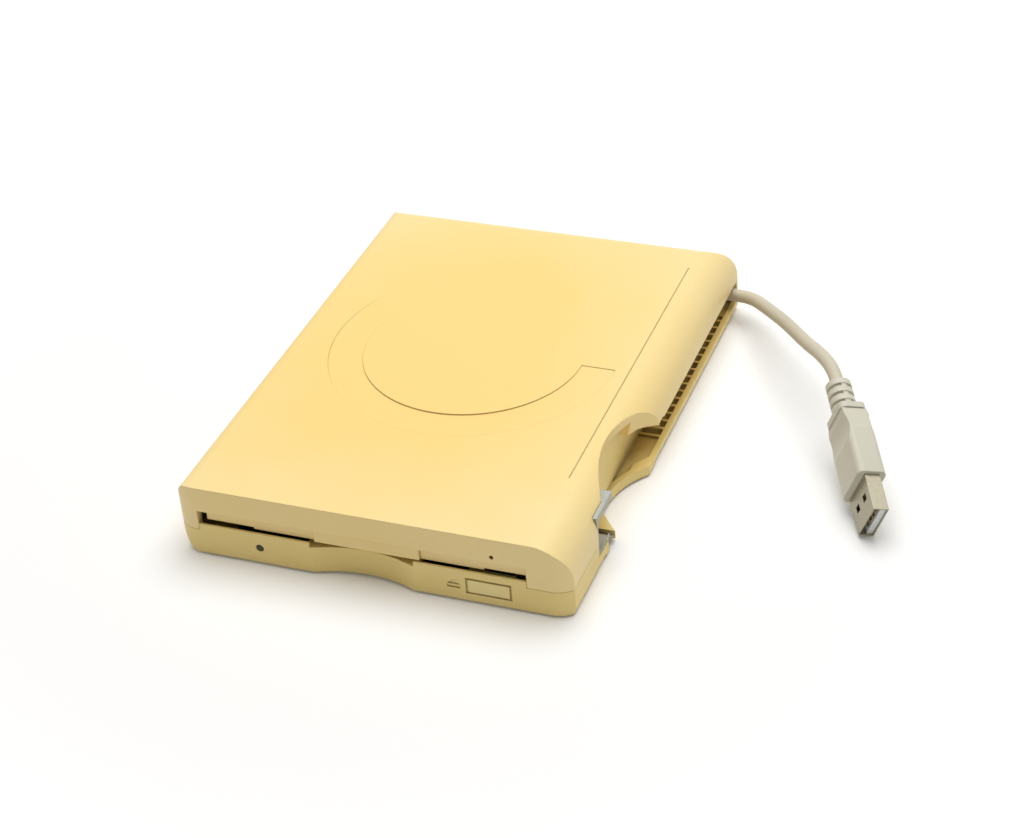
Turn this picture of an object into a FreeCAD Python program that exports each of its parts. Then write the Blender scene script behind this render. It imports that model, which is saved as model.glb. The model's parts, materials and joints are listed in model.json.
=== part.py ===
import FreeCAD, Part

import math
import os

import Sketcher

# External floppy disk drive with a stowable cord.  Millimetres, +Z up, front towards -Y.
# The origin is the centre of the case's footprint, on the table.

Vector = FreeCAD.Vector
doc = FreeCAD.newDocument("FloppyDrive")

SIZES = {
    # case
    "case_width": 116.0,
    "case_depth": 160.0,
    "case_height": 22.9,
    "foot_height": 0.8,
    "foot_radius": 4.0,
    "foot_recess": 0.6,
    "foot_inset_side": 14.5,
    "foot_inset_front": 14.0,
    "foot_inset_rear": 26.0,
    "wall": 1.8,
    "floor_thickness": 1.8,
    "front_wall": 2.4,
    "lower_height": 7.95,
    "seam_gap": 0.1,
    "roof_left_radius": 4.9,
    "roof_right_radius": 11.0,
    "roof_rear_radius": 8.0,
    "keel_left_radius": 6.0,
    "keel_right_radius": 1.0,
    "corner_radius": 8.0,
    "corner_reach": 6.0,
    "relief_radius": 33.3,
    "ring_radius": 43.6,
    "relief_from_front": 84.5,
    "relief_from_left": 57.4,
    "ring_depth": 0.175,
    "ring_fall": 0.0065,
    "ring_start": 140.0,
    "ring_sweep": 220.0,
    "groove_width": 0.3,
    "groove_depth": 0.2,
    "groove_from_right": 10.9,
    "groove_front": 31.4,
    "groove_length": 112.3,
    "tab_length": 12.0,
    "tab_thickness": 1.0,
    "tab_drop": 1.2,
    "tab_play": 0.15,
    # slot, flap and front controls
    "slot_inset": 6.4,
    "slot_width": 97.1,
    "slot_height": 4.3,
    "lip_ramp": 1.5,
    "lip_edge": 0.6,
    "brow_edge": 0.8,
    "flap_recess": 1.3,
    "flap_width": 94.3,
    "flap_side_gap": 2.3,
    "flap_thickness": 1.0,
    "flap_gap": 0.5,
    "flap_end_step": 0.6,
    "flap_left_end": 14.3,
    "flap_right_end": 12.0,
    "flap_boss_left": 32.9,
    "flap_boss_width": 31.1,
    "flap_boss_rise": 0.85,
    "flap_boss_height": 3.55,
    "flap_barrel_length": 5.0,
    "hinge_rise": 1.85,
    "hinge_clearance": 0.06,
    "hinge_room": 0.4,
    "pin_radius": 0.5,
    "left_pin_length": 12.0,
    "right_pin_length": 7.0,
    "hinge_block": 2.0,
    "spring_wire": 0.15,
    "spring_radius": 0.85,
    "spring_turns": 5.0,
    "spring_leg": 1.6,
    "scoop_left": 34.3,
    "scoop_width": 29.6,
    "scoop_depth": 2.9,
    "scoop_backing": 5.1,
    "eject_hole_radius": 0.6,
    "eject_hole_from_right": 22.0,
    "eject_hole_height": 16.2,
    "control_height": 5.0,
    "control_gap": 0.22,
    "lamp_radius": 0.95,
    "lamp_from_left": 24.6,
    "lamp_length": 5.6,
    "lamp_collar": 1.5,
    "diode_size": 2.0,
    "button_from_right": 17.6,
    "button_width": 12.0,
    "button_height": 4.0,
    "button_depth": 4.2,
    "button_flange": 0.8,
    "button_rim": 0.4,
    "button_travel": 0.6,
    "stem_size": 2.4,
    "stem_length": 1.0,
    "plunger_radius": 0.7,
    "plunger_length": 2.0,
    "switch_width": 6.0,
    "switch_depth": 4.0,
    "switch_height": 2.0,
    "mark_from_button": 2.3,
    "mark_width": 3.7,
    "mark_height": 1.5,
    "mark_bar": 0.6,
    "mark_depth": 0.3,
    # stowage for the plug and cord along the right side
    "channel_depth": 8.0,
    "channel_wall": 1.5,
    "channel_wall_top": 19.4,
    "channel_wall_rear_top": 13.0,
    "channel_lip": 1.6,
    "channel_lip_height": 2.6,
    "channel_top": 9.8,
    "channel_peak": 12.5,
    "channel_slope": 4.2,
    "channel_rear": 1.3,
    "raised_edge_front": 78.0,
    "raised_edge_length": 4.0,
    "raised_edge": 0.8,
    "pod_floor": 14.4,
    "pod_front": 76.0,
    "pod_rear": 10.0,
    "well_front": 36.0,
    "well_rear": 67.0,
    "well_top": 17.4,
    "dock_front": 22.6,
    "dock_floor": 3.4,
    "dock_top": 16.6,
    "upper_notch_radius": 37.2,
    "upper_notch_flare": 0.215,
    "upper_notch_y": 52.0,
    "upper_notch_x": 146.3,
    "lower_notch_radius": 26.0,
    "lower_notch_flare": 1.2,
    "lower_notch_y": 49.0,
    "notch_lip": 2.6,
    "bulge_front": 62.0,
    "bulge_length": 11.0,
    "bulge_width": 4.9,
    "lower_notch_x": 135.4,
    "comb_front": 82.0,
    "comb_pitch": 4.0,
    "comb_rib": 0.95,
    "comb_slots": 17.0,
    "sleeve_inset": 0.25,
    "sleeve_sheet": 0.35,
    "sleeve_width": 5.4,
    "sleeve_bottom": 3.45,
    "sleeve_height": 13.1,
    "sleeve_length": 13.0,
    "sleeve_strip_low": 1.25,
    "sleeve_strip_high": 1.95,
    "flare_run": 3.5,
    "flare_drop": 2.6,
    "flare_floor": 0.6,
    # plug and cord
    "plug_tip_x": 126.0,
    "plug_tip_y": -25.1,
    "plug_tip_z": 6.15,
    "plug_turn": 30.6,
    "plug_lean": 15.07,
    "plug_dip": 17.48,
    "shell_width": 12.0,
    "shell_thickness": 4.5,
    "shell_length": 12.0,
    "shell_sheet": 0.35,
    "latch_size": 2.2,
    "latch_from_tip": 5.2,
    "latch_spacing": 5.0,
    "body_width": 14.0,
    "body_thickness": 8.4,
    "body_length": 23.8,
    "collar_length": 2.0,
    "collar_rise": 0.4,
    "neck_length": 8.0,
    "neck_width": 11.2,
    "neck_thickness": 7.2,
    "grip_depth": 0.9,
    "grip_length": 10.0,
    "grip_front": 12.6,
    "tongue_thickness": 1.85,
    "tongue_inset": 0.4,
    "contact_width": 1.0,
    "contact_pitch": 2.2,
    "contact_thickness": 0.15,
    "contact_length": 8.5,
    "contact_inset": 1.2,
    "relief_sleeve_length": 10.6,
    "relief_sleeve_radius": 3.7,
    "relief_ring_depth": 0.7,
    "relief_ring_pitch": 2.9,
    "relief_ring_count": 4.0,
    "relief_spine": 1.6,
    "cord_diameter": 4.0,
    "cord_exit_from_rear": 4.0,
    "cord_exit_height": 6.6,
    "gland_length": 3.4,
    "gland_width": 4.4,
    "gland_height": 5.2,
    "braid_radius": 1.2,
    "braid_length": 9.0,
    "connector_length": 6.0,
    "connector_width": 5.0,
    "connector_height": 4.4,
    # mechanism frame
    "post_height": 2.6,
    "post_radius": 2.6,
    "post_inset_left": 10.5,
    "post_inset_right": 16.5,
    "post_from_front": 17.0,
    "post_spacing": 115.0,
    "grommet_height": 1.0,
    "screw_radius": 0.9,
    "screw_hole": 1.2,
    "screw_head_radius": 2.0,
    "screw_head_height": 0.8,
    "boss_from_rear": 10.0,
    "board_post_radius": 1.5,
    "chassis_width": 96.0,
    "chassis_front": 13.0,
    "chassis_length": 123.0,
    "chassis_wall_height": 12.0,
    "chassis_sheet": 0.8,
    "cover_sheet": 0.5,
    "cover_skirt": 2.0,
    "cover_window": 30.0,
    "slot_rise": 4.55,
    # disk carrier and slide plate
    "carrier_width": 91.0,
    "carrier_sheet": 0.5,
    "carrier_front": 10.5,
    "carrier_length": 87.0,
    "carrier_flange": 4.0,
    "carrier_flange_drop": 0.55,
    "carrier_height": 5.4,
    "carrier_drop": 2.2,
    "window_half_width": 9.0,
    "window_length": 30.0,
    "cam_pin_radius": 0.7,
    "cam_pin_length": 1.85,
    "cam_pin_height": 5.9,
    "cam_pin_front": 35.0,
    "cam_pin_spacing": 44.0,
    "cam_clearance": 0.12,
    "cam_overrun": 1.0,
    "slide_travel": 6.0,
    "slide_sheet": 0.5,
    "slide_play": 0.05,
    "slide_gap": 0.35,
    "slide_front": 24.0,
    "slide_length": 64.0,
    "slide_strip": 4.9,
    "slide_arm_height": 7.85,
    "slide_bridge_front": 69.0,
    "slide_bridge_width": 5.0,
    "rack_from_right": 7.45,
    "rack_bar": 3.9,
    "rack_bar_height": 0.75,
    "rack_thickness": 1.0,
    "rack_length": 33.0,
    "rack_teeth": 9.0,
    # spindle
    "spindle_from_front": 51.0,
    "spindle_hole": 15.0,
    "stator_size": 32.0,
    "stator_thickness": 0.8,
    "bearing_radius": 3.0,
    "bearing_flange_radius": 5.5,
    "bearing_flange": 0.4,
    "bearing_length": 2.3,
    "shaft_radius": 1.5,
    "shaft_clearance": 0.03,
    "shaft_length": 5.1,
    "coil_count": 9.0,
    "coil_radius": 2.2,
    "coil_height": 0.9,
    "coil_circle": 8.6,
    "rotor_radius": 14.5,
    "rotor_wall": 1.2,
    "rotor_skirt": 0.3,
    "rotor_plate": 1.5,
    "rotor_plate_thickness": 0.6,
    "rotor_hub_radius": 10.0,
    "rotor_hub_height": 1.0,
    "magnet_inner_radius": 5.5,
    "magnet_outer_radius": 12.6,
    "magnet_thickness": 0.5,
    "drive_peg_radius": 0.7,
    "drive_peg_circle": 7.5,
    # heads
    "head_from_spindle": 39.5,
    "head_reach": 27.0,
    "head_size": 3.0,
    "lower_head_height": 1.75,
    "lower_arm_lift": 0.8,
    "lower_arm_thickness": 0.6,
    "arm_half_width": 4.0,
    "carriage_half_width": 9.0,
    "carriage_wing": 15.0,
    "carriage_wing_height": 3.2,
    "carriage_length": 14.0,
    "carriage_lift": 1.0,
    "carriage_height": 4.6,
    "rod_offset": 13.0,
    "rod_radius": 1.0,
    "rod_clearance": 0.04,
    "rod_height": 3.0,
    "rod_front": 98.4,
    "rod_length": 36.1,
    "clamp_width": 4.0,
    "clamp_length": 1.5,
    "clamp_height": 4.8,
    "ear_width": 2.0,
    "ear_gap": 0.3,
    "ear_length": 4.0,
    "ear_height": 4.2,
    "hinge_from_rear": 2.0,
    "arm_height": 8.9,
    "arm_thickness": 0.7,
    "arm_pin_radius": 0.6,
    "arm_hinge_height": 8.4,
    "upper_head_height": 0.85,
    # linear motor of the heads
    "coil_width": 10.0,
    "coil_box_height": 5.8,
    "coil_wall": 1.8,
    "coil_length": 12.0,
    "coil_lift": 2.6,
    "yoke_front": 98.4,
    "yoke_length": 35.4,
    "yoke_bar": 1.4,
    "yoke_inset": 0.6,
    "yoke_height": 10.9,
    "yoke_core_width": 5.6,
    "field_magnet": 0.9,
    # eject drive
    "gear_module": 0.5,
    "gear_addendum": 0.65,
    "gear_dedendum": 0.8,
    "gear_backlash": 0.05,
    "rack_gear_teeth": 12.0,
    "wheel_teeth": 30.0,
    "pinion_teeth": 10.0,
    "gear_from_front": 116.0,
    "gear_lift": 0.1,
    "gear_thickness": 1.0,
    "wheel_lift": 8.35,
    "gear_hub_radius": 2.0,
    "gear_post_radius": 1.0,
    "gear_post_length": 9.8,
    "gear_clearance": 0.04,
    "motor_direction": -120.0,
    "motor_radius": 5.5,
    "motor_height": 8.0,
    "motor_shaft_radius": 0.5,
    "motor_shaft_depth": 6.0,
    # boards
    "board_gap": 1.2,
    "board_thickness": 1.0,
    "board_front": 6.0,
    "board_side_left": 14.0,
    "board_width": 82.0,
    "main_board_length": 104.0,
    "interface_front": 138.6,
    "interface_left": 19.5,
    "interface_width": 76.0,
    "interface_length": 18.4,
    "chip_height": 1.0,
    "bridge_chip_size": 10.0,
    "ribbon_width": 20.0,
    "ribbon_thickness": 0.2,
    "ribbon_front": 105.0,
    "ribbon_length": 38.0,
}
PAST = 2.0  # how far a cut runs past the face that it opens
CHIPS = [(10, 8, 14, 10), (30, 12, 9, 9), (60, 8, 14, 12), (8, 66, 16, 16), (50, 70, 10, 14), (64, 86, 8, 8)]
CORD_ROUTE = [
    (57.8, 76.0, 7.4),
    (65.2, 72.6, 9.15),
    (73.35, 60.45, 13.95),
    (82.05, 49.35, 17.1),
    (91.35, 37.05, 19.25),
    (97.15, 30.1, 21.05),
]


class Length:
    """A number that remembers how it is worked out from the cells of the sheet."""

    def __init__(self, value, text):
        self.value = float(value)
        self.text = text

    def combined(self, other, sign, value):
        return Length(value, "(" + self.text + " " + sign + " " + spelled(other) + ")")

    def __add__(self, other):
        return self.combined(other, "+", self.value + number(other))

    def __sub__(self, other):
        return self.combined(other, "-", self.value - number(other))

    def __mul__(self, other):
        return self.combined(other, "*", self.value * number(other))

    def __truediv__(self, other):
        return self.combined(other, "/", self.value / number(other))

    def __neg__(self):
        return Length(-self.value, "(0 - " + self.text + ")")

    def __radd__(self, other):
        return as_length(other) + self

    def __rsub__(self, other):
        return as_length(other) - self

    def __rmul__(self, other):
        return as_length(other) * self


def number(length):
    return length.value if isinstance(length, Length) else float(length)


def spelled(length):
    return length.text if isinstance(length, Length) else "(%r)" % float(length)


def as_length(length):
    return length if isinstance(length, Length) else Length(length, spelled(length))


class Cells:
    """The driving sizes, one attribute for each cell of the sheet."""


sheet = doc.addObject("Spreadsheet::Sheet", "Sizes")
size = Cells()
for row, (alias, amount) in enumerate(SIZES.items(), start=1):
    sheet.set("A%d" % row, alias)
    sheet.set("B%d" % row, "%g" % amount)
    sheet.setAlias("B%d" % row, alias)
    setattr(size, alias, Length(amount, "Sizes." + alias))
doc.recompute()

# ---------------------------------------------------------------- shared places
left = -size.case_width / 2
right = size.case_width / 2
front = -size.case_depth / 2
rear = size.case_depth / 2
base = size.foot_height
top = size.case_height
floor = base + size.floor_thickness
ceiling = top - size.wall
parting = base + size.lower_height
rim = parting - size.seam_gap
bay_left = left + size.wall
channel_inner = right - size.channel_depth
bay_right = channel_inner - size.channel_wall
front_inner = front + size.front_wall
rear_inner = rear - size.wall
channel_rear = rear - size.channel_rear
lip_top = floor + size.channel_lip_height - size.floor_thickness
outside = right + PAST

chassis_bottom = floor + size.post_height + size.grommet_height
deck = chassis_bottom + size.chassis_sheet
cover_bottom = chassis_bottom + size.chassis_wall_height
slot_bottom = chassis_bottom + size.slot_rise
slot_top = slot_bottom + size.slot_height
slot_left = left + size.slot_inset
slot_right = slot_left + size.slot_width
centre = slot_left + size.slot_width / 2
chassis_left = centre - size.chassis_width / 2
chassis_right = centre + size.chassis_width / 2
chassis_front = front + size.chassis_front
chassis_rear = chassis_front + size.chassis_length
wall_left = chassis_left + size.chassis_sheet
wall_right = chassis_right - size.chassis_sheet
spindle_y = front + size.spindle_from_front
head_y = spindle_y + size.head_from_spindle

hinge_y = front + size.flap_recess + size.flap_thickness
hinge_z = slot_top + size.hinge_rise
flap_left = slot_left + size.flap_side_gap
flap_right = flap_left + size.flap_width
flap_bottom = slot_bottom + size.flap_gap
control_z = base + size.control_height
lamp_x = left + size.lamp_from_left
button_right = right - size.button_from_right
button_left = button_right - size.button_width
button_x = button_right - size.button_width / 2
eject_x = right - size.eject_hole_from_right
eject_z = base + size.eject_hole_height

board_bottom = floor + size.board_gap
board_top = board_bottom + size.board_thickness
board_front = front + size.board_front
board_left = left + size.board_side_left
board_right = board_left + size.board_width
interface_left = left + size.interface_left
interface_right = interface_left + size.interface_width
interface_front = front + size.interface_front
posts_x = (left + size.post_inset_left, right - size.post_inset_right)
posts_y = (front + size.post_from_front, front + size.post_from_front + size.post_spacing)
boss_y = rear - size.boss_from_rear
feet_x = (left + size.foot_inset_side, right - size.foot_inset_side)
feet_y = (front + size.foot_inset_front, rear - size.foot_inset_rear)

cord_y = rear - size.cord_exit_from_rear
cord_z = base + size.cord_exit_height
gland_right = channel_inner + size.gland_length / 4
gland_left = gland_right - size.gland_length

carriage_front = head_y + size.head_reach
carriage_rear = carriage_front + size.carriage_length
carriage_bottom = deck + size.carriage_lift
rod_z = deck + size.rod_height
arm_hinge_y = carriage_rear - size.hinge_from_rear
arm_hinge_z = deck + size.arm_hinge_height

PLANES = {"top": "XY_Plane", "front": "XZ_Plane", "side": "YZ_Plane"}
TURNED = {
    "x": FreeCAD.Rotation(Vector(0, 0, 1), Vector(1, 0, 0)),
    "y": FreeCAD.Rotation(Vector(0, 0, 1), Vector(0, 1, 0)),
    "z": FreeCAD.Rotation(),
}
nodes = {}


# ---------------------------------------------------------------- building blocks
def bind(item, name, length):
    item.setExpression(name, spelled(length))


def bind_place(item, x, y, z):
    for axis, length in zip("xyz", (x, y, z)):
        bind(item, "Placement.Base." + axis, length)


def bind_limits(item, x, y, z):
    """Size and place a box by its (low, high) pairs."""
    for side, (low, high) in zip(("Length", "Width", "Height"), (x, y, z)):
        bind(item, side, as_length(high) - low)
    bind_place(item, x[0], y[0], z[0])


def bind_rod(item, axis, start, length, radius):
    """Size and place a cylinder that starts at a point and runs along an axis."""
    item.Placement = FreeCAD.Placement(Vector(), TURNED[axis])
    bind(item, "Radius", radius)
    bind(item, "Height", length)
    bind_place(item, *start)


def flat(point):
    return Vector(number(point[0]), number(point[1]), 0)


def rounded_corner(before, corner, after, radius):
    """Ends of the arc that rounds a right-angled corner."""
    ends = []
    for other in (before, after):
        end = []
        for here, there in zip(corner, other):
            gap = number(there) - number(here)
            step = 0.0 if abs(gap) < 1e-9 else math.copysign(1.0, gap)
            end.append(as_length(here) + as_length(radius) * step)
        ends.append(end)
    return ends


def arc_points(u, v, radius, start, finish, steps):
    """Points along an arc about (u, v), between two angles in degrees."""
    points = []
    for index in range(steps + 1):
        angle = math.radians(start + (finish - start) * index / steps)
        points.append((u + radius * math.cos(angle), v + radius * math.sin(angle)))
    return points


class Piece:
    """One sub-part: a body that is built up and cut feature by feature."""

    def __init__(self, label):
        self.body = doc.addObject("PartDesign::Body", label)
        self.body.Label = label
        self.label = label
        self.count = 0
        nodes[label] = self.body

    def feature(self, kind):
        self.count += 1
        return self.body.newObject("PartDesign::" + kind, "%s_%d" % (self.label, self.count))

    def block(self, x, y, z):
        bind_limits(self.feature("AdditiveBox"), x, y, z)

    def hollow(self, x, y, z):
        bind_limits(self.feature("SubtractiveBox"), x, y, z)

    def rod(self, axis, start, length, radius):
        bind_rod(self.feature("AdditiveCylinder"), axis, start, length, radius)

    def bore(self, axis, start, length, radius):
        bind_rod(self.feature("SubtractiveCylinder"), axis, start, length, radius)

    def flare(self, start, length, low_radius, high_radius):
        """An upright conical cut."""
        item = self.feature("SubtractiveCone")
        bind(item, "Radius1", low_radius)
        bind(item, "Radius2", high_radius)
        bind(item, "Height", length)
        bind_place(item, *start)

    def sector(self, start, radius, fall, toward, begin, sweep):
        """A shallow cut over part of a turn, whose floor falls towards one direction."""
        lean = Vector(math.cos(math.radians(toward)), math.sin(math.radians(toward)), 0)
        item = self.feature("SubtractiveCylinder")
        tilt = FreeCAD.Rotation(Vector(0, 0, 1), lean * number(fall) + Vector(0, 0, 1))
        turned = FreeCAD.Rotation(Vector(0, 0, 1), number(begin))
        item.Placement = FreeCAD.Placement(Vector(), tilt.multiply(turned))
        bind(item, "Radius", radius)
        bind(item, "Height", PAST)
        bind(item, "Angle", sweep)
        bind_place(item, *start)

    def outline(self, plane, level, path):
        """A closed sketch; each corner of path is (u, v) or (u, v, radius at a right angle)."""
        self.count += 1
        name = "%s_outline_%d" % (self.label, self.count)
        sketch = self.body.newObject("Sketcher::SketchObject", name)
        planes = {item.Role: item for item in self.body.Origin.OriginFeatures}
        sketch.AttachmentSupport = [(planes[PLANES[plane]], "")]
        sketch.MapMode = "FlatFace"
        bind(sketch, "AttachmentOffset.Base.z", -as_length(level) if plane == "front" else level)
        corners = []
        for index, corner in enumerate(path):
            if len(corner) == 2:
                corners.append(([corner], None))
                continue
            before = path[index - 1]
            after = path[(index + 1) % len(path)]
            corners.append((rounded_corner(before[:2], corner[:2], after[:2], corner[2]), corner))
        lines = []
        for index, (ends, _) in enumerate(corners):
            start = ends[-1]
            finish = corners[(index + 1) % len(corners)][0][0]
            line = sketch.addGeometry(Part.LineSegment(flat(start), flat(finish)), False)
            for position, point in ((1, start), (2, finish)):
                for kind, length in zip(("DistanceX", "DistanceY"), point):
                    self.dimension(sketch, kind, (-1, 1, line, position), length)
            lines.append(line)
        for index, (ends, corner) in enumerate(corners):
            if corner is not None:
                self.arc(sketch, ends, corner, lines[index - 1], lines[index])
        return sketch

    def dimension(self, sketch, kind, where, length):
        constraint = Sketcher.Constraint(kind, *where, number(length))
        index = sketch.addConstraint(constraint)
        sketch.setExpression("Constraints[%d]" % index, spelled(length))

    def arc(self, sketch, ends, corner, line_in, line_out):
        first, last = flat(ends[0]), flat(ends[1])
        middle = first + last - flat(corner)
        turn = (first - middle).cross(last - middle).z
        start, finish = (first, last) if turn > 0 else (last, first)
        angles = [math.atan2(end.y - middle.y, end.x - middle.x) for end in (start, finish)]
        circle = Part.Circle(middle, Vector(0, 0, 1), number(corner[2]))
        index = sketch.addGeometry(Part.ArcOfCircle(circle, angles[0], angles[1]), False)
        begins, ends_at = (1, 2) if turn > 0 else (2, 1)
        sketch.addConstraint(Sketcher.Constraint("Coincident", line_in, 2, index, begins))
        sketch.addConstraint(Sketcher.Constraint("Coincident", line_out, 1, index, ends_at))
        self.dimension(sketch, "Radius", (index,), corner[2])

    def plate(self, plane, level, thickness, path):
        """Material that grows from a level: up on "top", forward on "front", rightward on "side"."""
        self.extrude("Pad", self.outline(plane, level, path), thickness)

    def opening(self, plane, level, depth, path):
        """A cut from a level: down on "top", rearward on "front", leftward on "side"."""
        self.extrude("Pocket", self.outline(plane, level, path), depth)

    def extrude(self, kind, sketch, length):
        item = self.feature(kind)
        item.Profile = sketch
        bind(item, "Length", length)
        sketch.Visibility = False


def loose_box(x, y, z):
    item = doc.addObject("Part::Box", "block")
    bind_limits(item, x, y, z)
    return item


def loose_rod(axis, start, length, radius):
    item = doc.addObject("Part::Cylinder", "rod")
    bind_rod(item, axis, start, length, radius)
    return item


def joined(items):
    item = doc.addObject("Part::MultiFuse", "joined")
    item.Shapes = items
    return item


def cut_from(whole, tool):
    item = doc.addObject("Part::Cut", "cut")
    item.Base = whole
    item.Tool = tool
    return item


def loose_ring(start, height, outer, inner):
    """An upright tube."""
    low = (start[0], start[1], start[2] - PAST)
    return cut_from(loose_rod("z", start, height, outer), loose_rod("z", low, height + 2 * PAST, inner))


def group(label, items):
    """Identical or paired solids that share one node."""
    item = doc.addObject("Part::Compound", label)
    item.Links = items
    item.Label = label
    nodes[label] = item
    return item


def shaped(label, shape):
    """A solid that no feature draws well."""
    item = doc.addObject("Part::Feature", label)
    item.Shape = shape
    item.Label = label
    nodes[label] = item


# ---------------------------------------------------------------- case
def cut_roll(piece):
    """Roll the rear edge of the roof."""
    roll = size.roof_rear_radius
    points = [(rear + PAST, top - roll), (rear + PAST, top + PAST), (rear - roll, top + PAST)]
    points += arc_points(rear - roll, top - roll, roll, 90, 0, 14)
    piece.opening("side", outside, size.case_width + 2 * PAST, points)


def round_front_corners(piece):
    """Round both upright front corners by arcs that leave the front face smoothly."""
    radius = size.corner_radius
    reach = size.corner_reach
    swing = math.degrees(math.asin(number(reach) / number(radius)))
    near = arc_points(left + reach, front + radius, radius, 270 - swing, 270, 8)
    far = arc_points(right - reach, front + radius, radius, 270, 270 + swing, 8)
    points = [(left - PAST, front - PAST), (left - PAST, near[0][1])] + near + far
    points += [(outside, far[-1][1]), (outside, front - PAST)]
    piece.opening("top", top + PAST, top + 2 * PAST, points)


def right_corner(start, finish):
    """Inner outline of the roof's large right edge, between two angles."""
    radius = size.roof_right_radius
    return arc_points(right - radius, top - radius, radius - size.wall, start, finish, 6)


def make_top_shell():
    piece = Piece("top_shell")
    piece.plate(
        "front",
        rear,
        size.case_depth,
        [
            (left, parting),
            (right, parting),
            (right, top, size.roof_right_radius),
            (left, top, size.roof_left_radius),
        ],
    )
    cut_roll(piece)
    hollow_roof(piece)
    hollow_right_pod(piece)
    open_roof_stowage(piece)
    cut_slot(piece)
    round_front_corners(piece)
    dress_roof(piece)
    add_roof_fixings(piece)


def hollow_roof(piece):
    """The space over the mechanism, as far back as the rolled edge, and then under it."""
    roll = size.roof_rear_radius
    low = parting - PAST
    turn = right - size.roof_right_radius
    path = [(bay_left, low), (channel_inner, low), (channel_inner, ceiling - size.wall / 3)]
    path += [(turn, ceiling), (bay_left, ceiling, size.roof_left_radius - size.wall)]
    piece.opening("front", front_inner, size.case_depth - roll - size.front_wall, path)
    path = [(rear - roll - size.wall, low), (rear - roll - size.wall, ceiling - size.wall / 3)]
    path += arc_points(rear - roll, top - roll, roll - size.wall, 84, 0, 10)
    path += [(rear_inner, low)]
    piece.opening("side", channel_inner, channel_inner - bay_left, path)


def hollow_right_pod(piece):
    """The space in the front right corner, and the one over the cord channel."""
    low = parting - PAST
    path = [(channel_inner - size.wall / 9, low), (right - size.wall, low)] + right_corner(0, 70)
    path += [(channel_inner - size.wall / 9, ceiling - size.wall / 3)]
    pod_depth = size.dock_front - size.front_wall - size.channel_wall
    piece.opening("front", front_inner, pod_depth, path)
    pod_floor = base + size.pod_floor
    path = [(channel_inner - size.wall / 9, pod_floor)] + right_corner(22, 70)
    path[1] = (path[1][0], pod_floor)
    path += [(channel_inner - size.wall / 9, ceiling - size.wall / 3)]
    length = size.case_depth - size.pod_front - size.pod_rear
    piece.opening("front", front + size.pod_front, length, path)


def open_roof_stowage(piece):
    """Where the roof opens for the dock, the plug's well, the finger notch and the cord channel."""
    low = parting - PAST
    aside = (channel_inner - size.wall / 9, outside)
    well_front = front + size.well_front
    well_rear = front + size.well_rear
    edge = base + size.channel_top
    peak = base + size.channel_peak
    path = [(aside[0], low), (outside, low), (outside, edge), (right, edge)]
    path += [(right - size.channel_slope, peak), (aside[0], peak)]
    piece.opening("front", well_rear, channel_rear - well_rear, path)
    piece.hollow(aside, (well_front, well_rear), (low, base + size.well_top))
    piece.hollow(aside, (front + size.dock_front, well_front), (low, base + size.dock_top))
    raised = front + size.raised_edge_front
    piece.hollow(
        (right - size.wall, outside),
        (raised, raised + size.raised_edge_length),
        (low, edge + size.raised_edge),
    )
    notch = (left + size.upper_notch_x, front + size.upper_notch_y, low)
    widest = size.upper_notch_radius + size.upper_notch_flare * (top - low)
    narrowest = size.upper_notch_radius - size.upper_notch_flare * PAST
    piece.flare(notch, top - low + PAST, widest, narrowest)


def cut_slot(piece):
    """The disk slot, and behind its brow the recess that the flap hinges in."""
    low = parting - PAST
    piece.hollow((slot_left, slot_right), (front - PAST, front_inner + PAST), (low, slot_top))
    piece.hollow(
        (slot_left, slot_right),
        (front + size.brow_edge, front_inner + PAST),
        (low, hinge_z + size.flap_thickness + size.hinge_room),
    )
    piece.bore("y", (eject_x, front - PAST, eject_z), size.front_wall + 2 * PAST, size.eject_hole_radius)


def dress_roof(piece):
    """The sunk sector around the disk relief, and the long groove in the top face."""
    x = left + size.relief_from_left
    y = front + size.relief_from_front
    ring = (x, y, top - size.ring_depth)
    piece.sector(ring, size.ring_radius, size.ring_fall, -85, size.ring_start, size.ring_sweep)
    piece.rod("z", (x, y, top - size.wall / 2), size.wall / 2, size.relief_radius)
    groove = right - size.groove_from_right
    piece.hollow(
        (groove, groove + size.groove_width),
        (front + size.groove_front, front + size.groove_front + size.groove_length),
        (top - size.groove_depth, top + PAST),
    )


def add_roof_fixings(piece):
    """Hinge blocks of the flap, screw bosses and locating tabs."""
    depth = (front + size.brow_edge, hinge_y + size.flap_barrel_length / 2)
    height = (hinge_z - size.flap_thickness - size.hinge_clearance, ceiling + size.wall / 2)
    outer = slot_left - size.hinge_room
    inner = flap_left - size.hinge_room
    piece.block((outer, inner), depth, height)
    piece.bore("x", (slot_left, hinge_y, hinge_z), PAST + size.hinge_block, size.pin_radius)
    inner = flap_right + size.hinge_room
    outer = inner + size.hinge_block
    piece.block((inner, outer), depth, height)
    length = size.right_pin_length - size.flap_barrel_length
    piece.bore("x", (flap_right, hinge_y, hinge_z), length, size.pin_radius)
    for x in posts_x:
        piece.rod("z", (x, boss_y, parting), ceiling - parting + size.wall / 2, size.post_radius)
        piece.bore("z", (x, boss_y, parting - PAST), PAST + size.post_radius * 3, size.screw_radius)
    for y in (front + size.well_front, front + size.pod_front + size.tab_length):
        piece.block(
            (bay_left + size.tab_play, bay_left + size.tab_play + size.tab_thickness),
            (y, y + size.tab_length),
            (parting - size.tab_drop, parting + PAST),
        )
        piece.block(
            (bay_left - size.wall / 4, bay_left + size.tab_play + size.tab_thickness),
            (y, y + size.tab_length),
            (parting + size.seam_gap, parting + PAST),
        )


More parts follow.
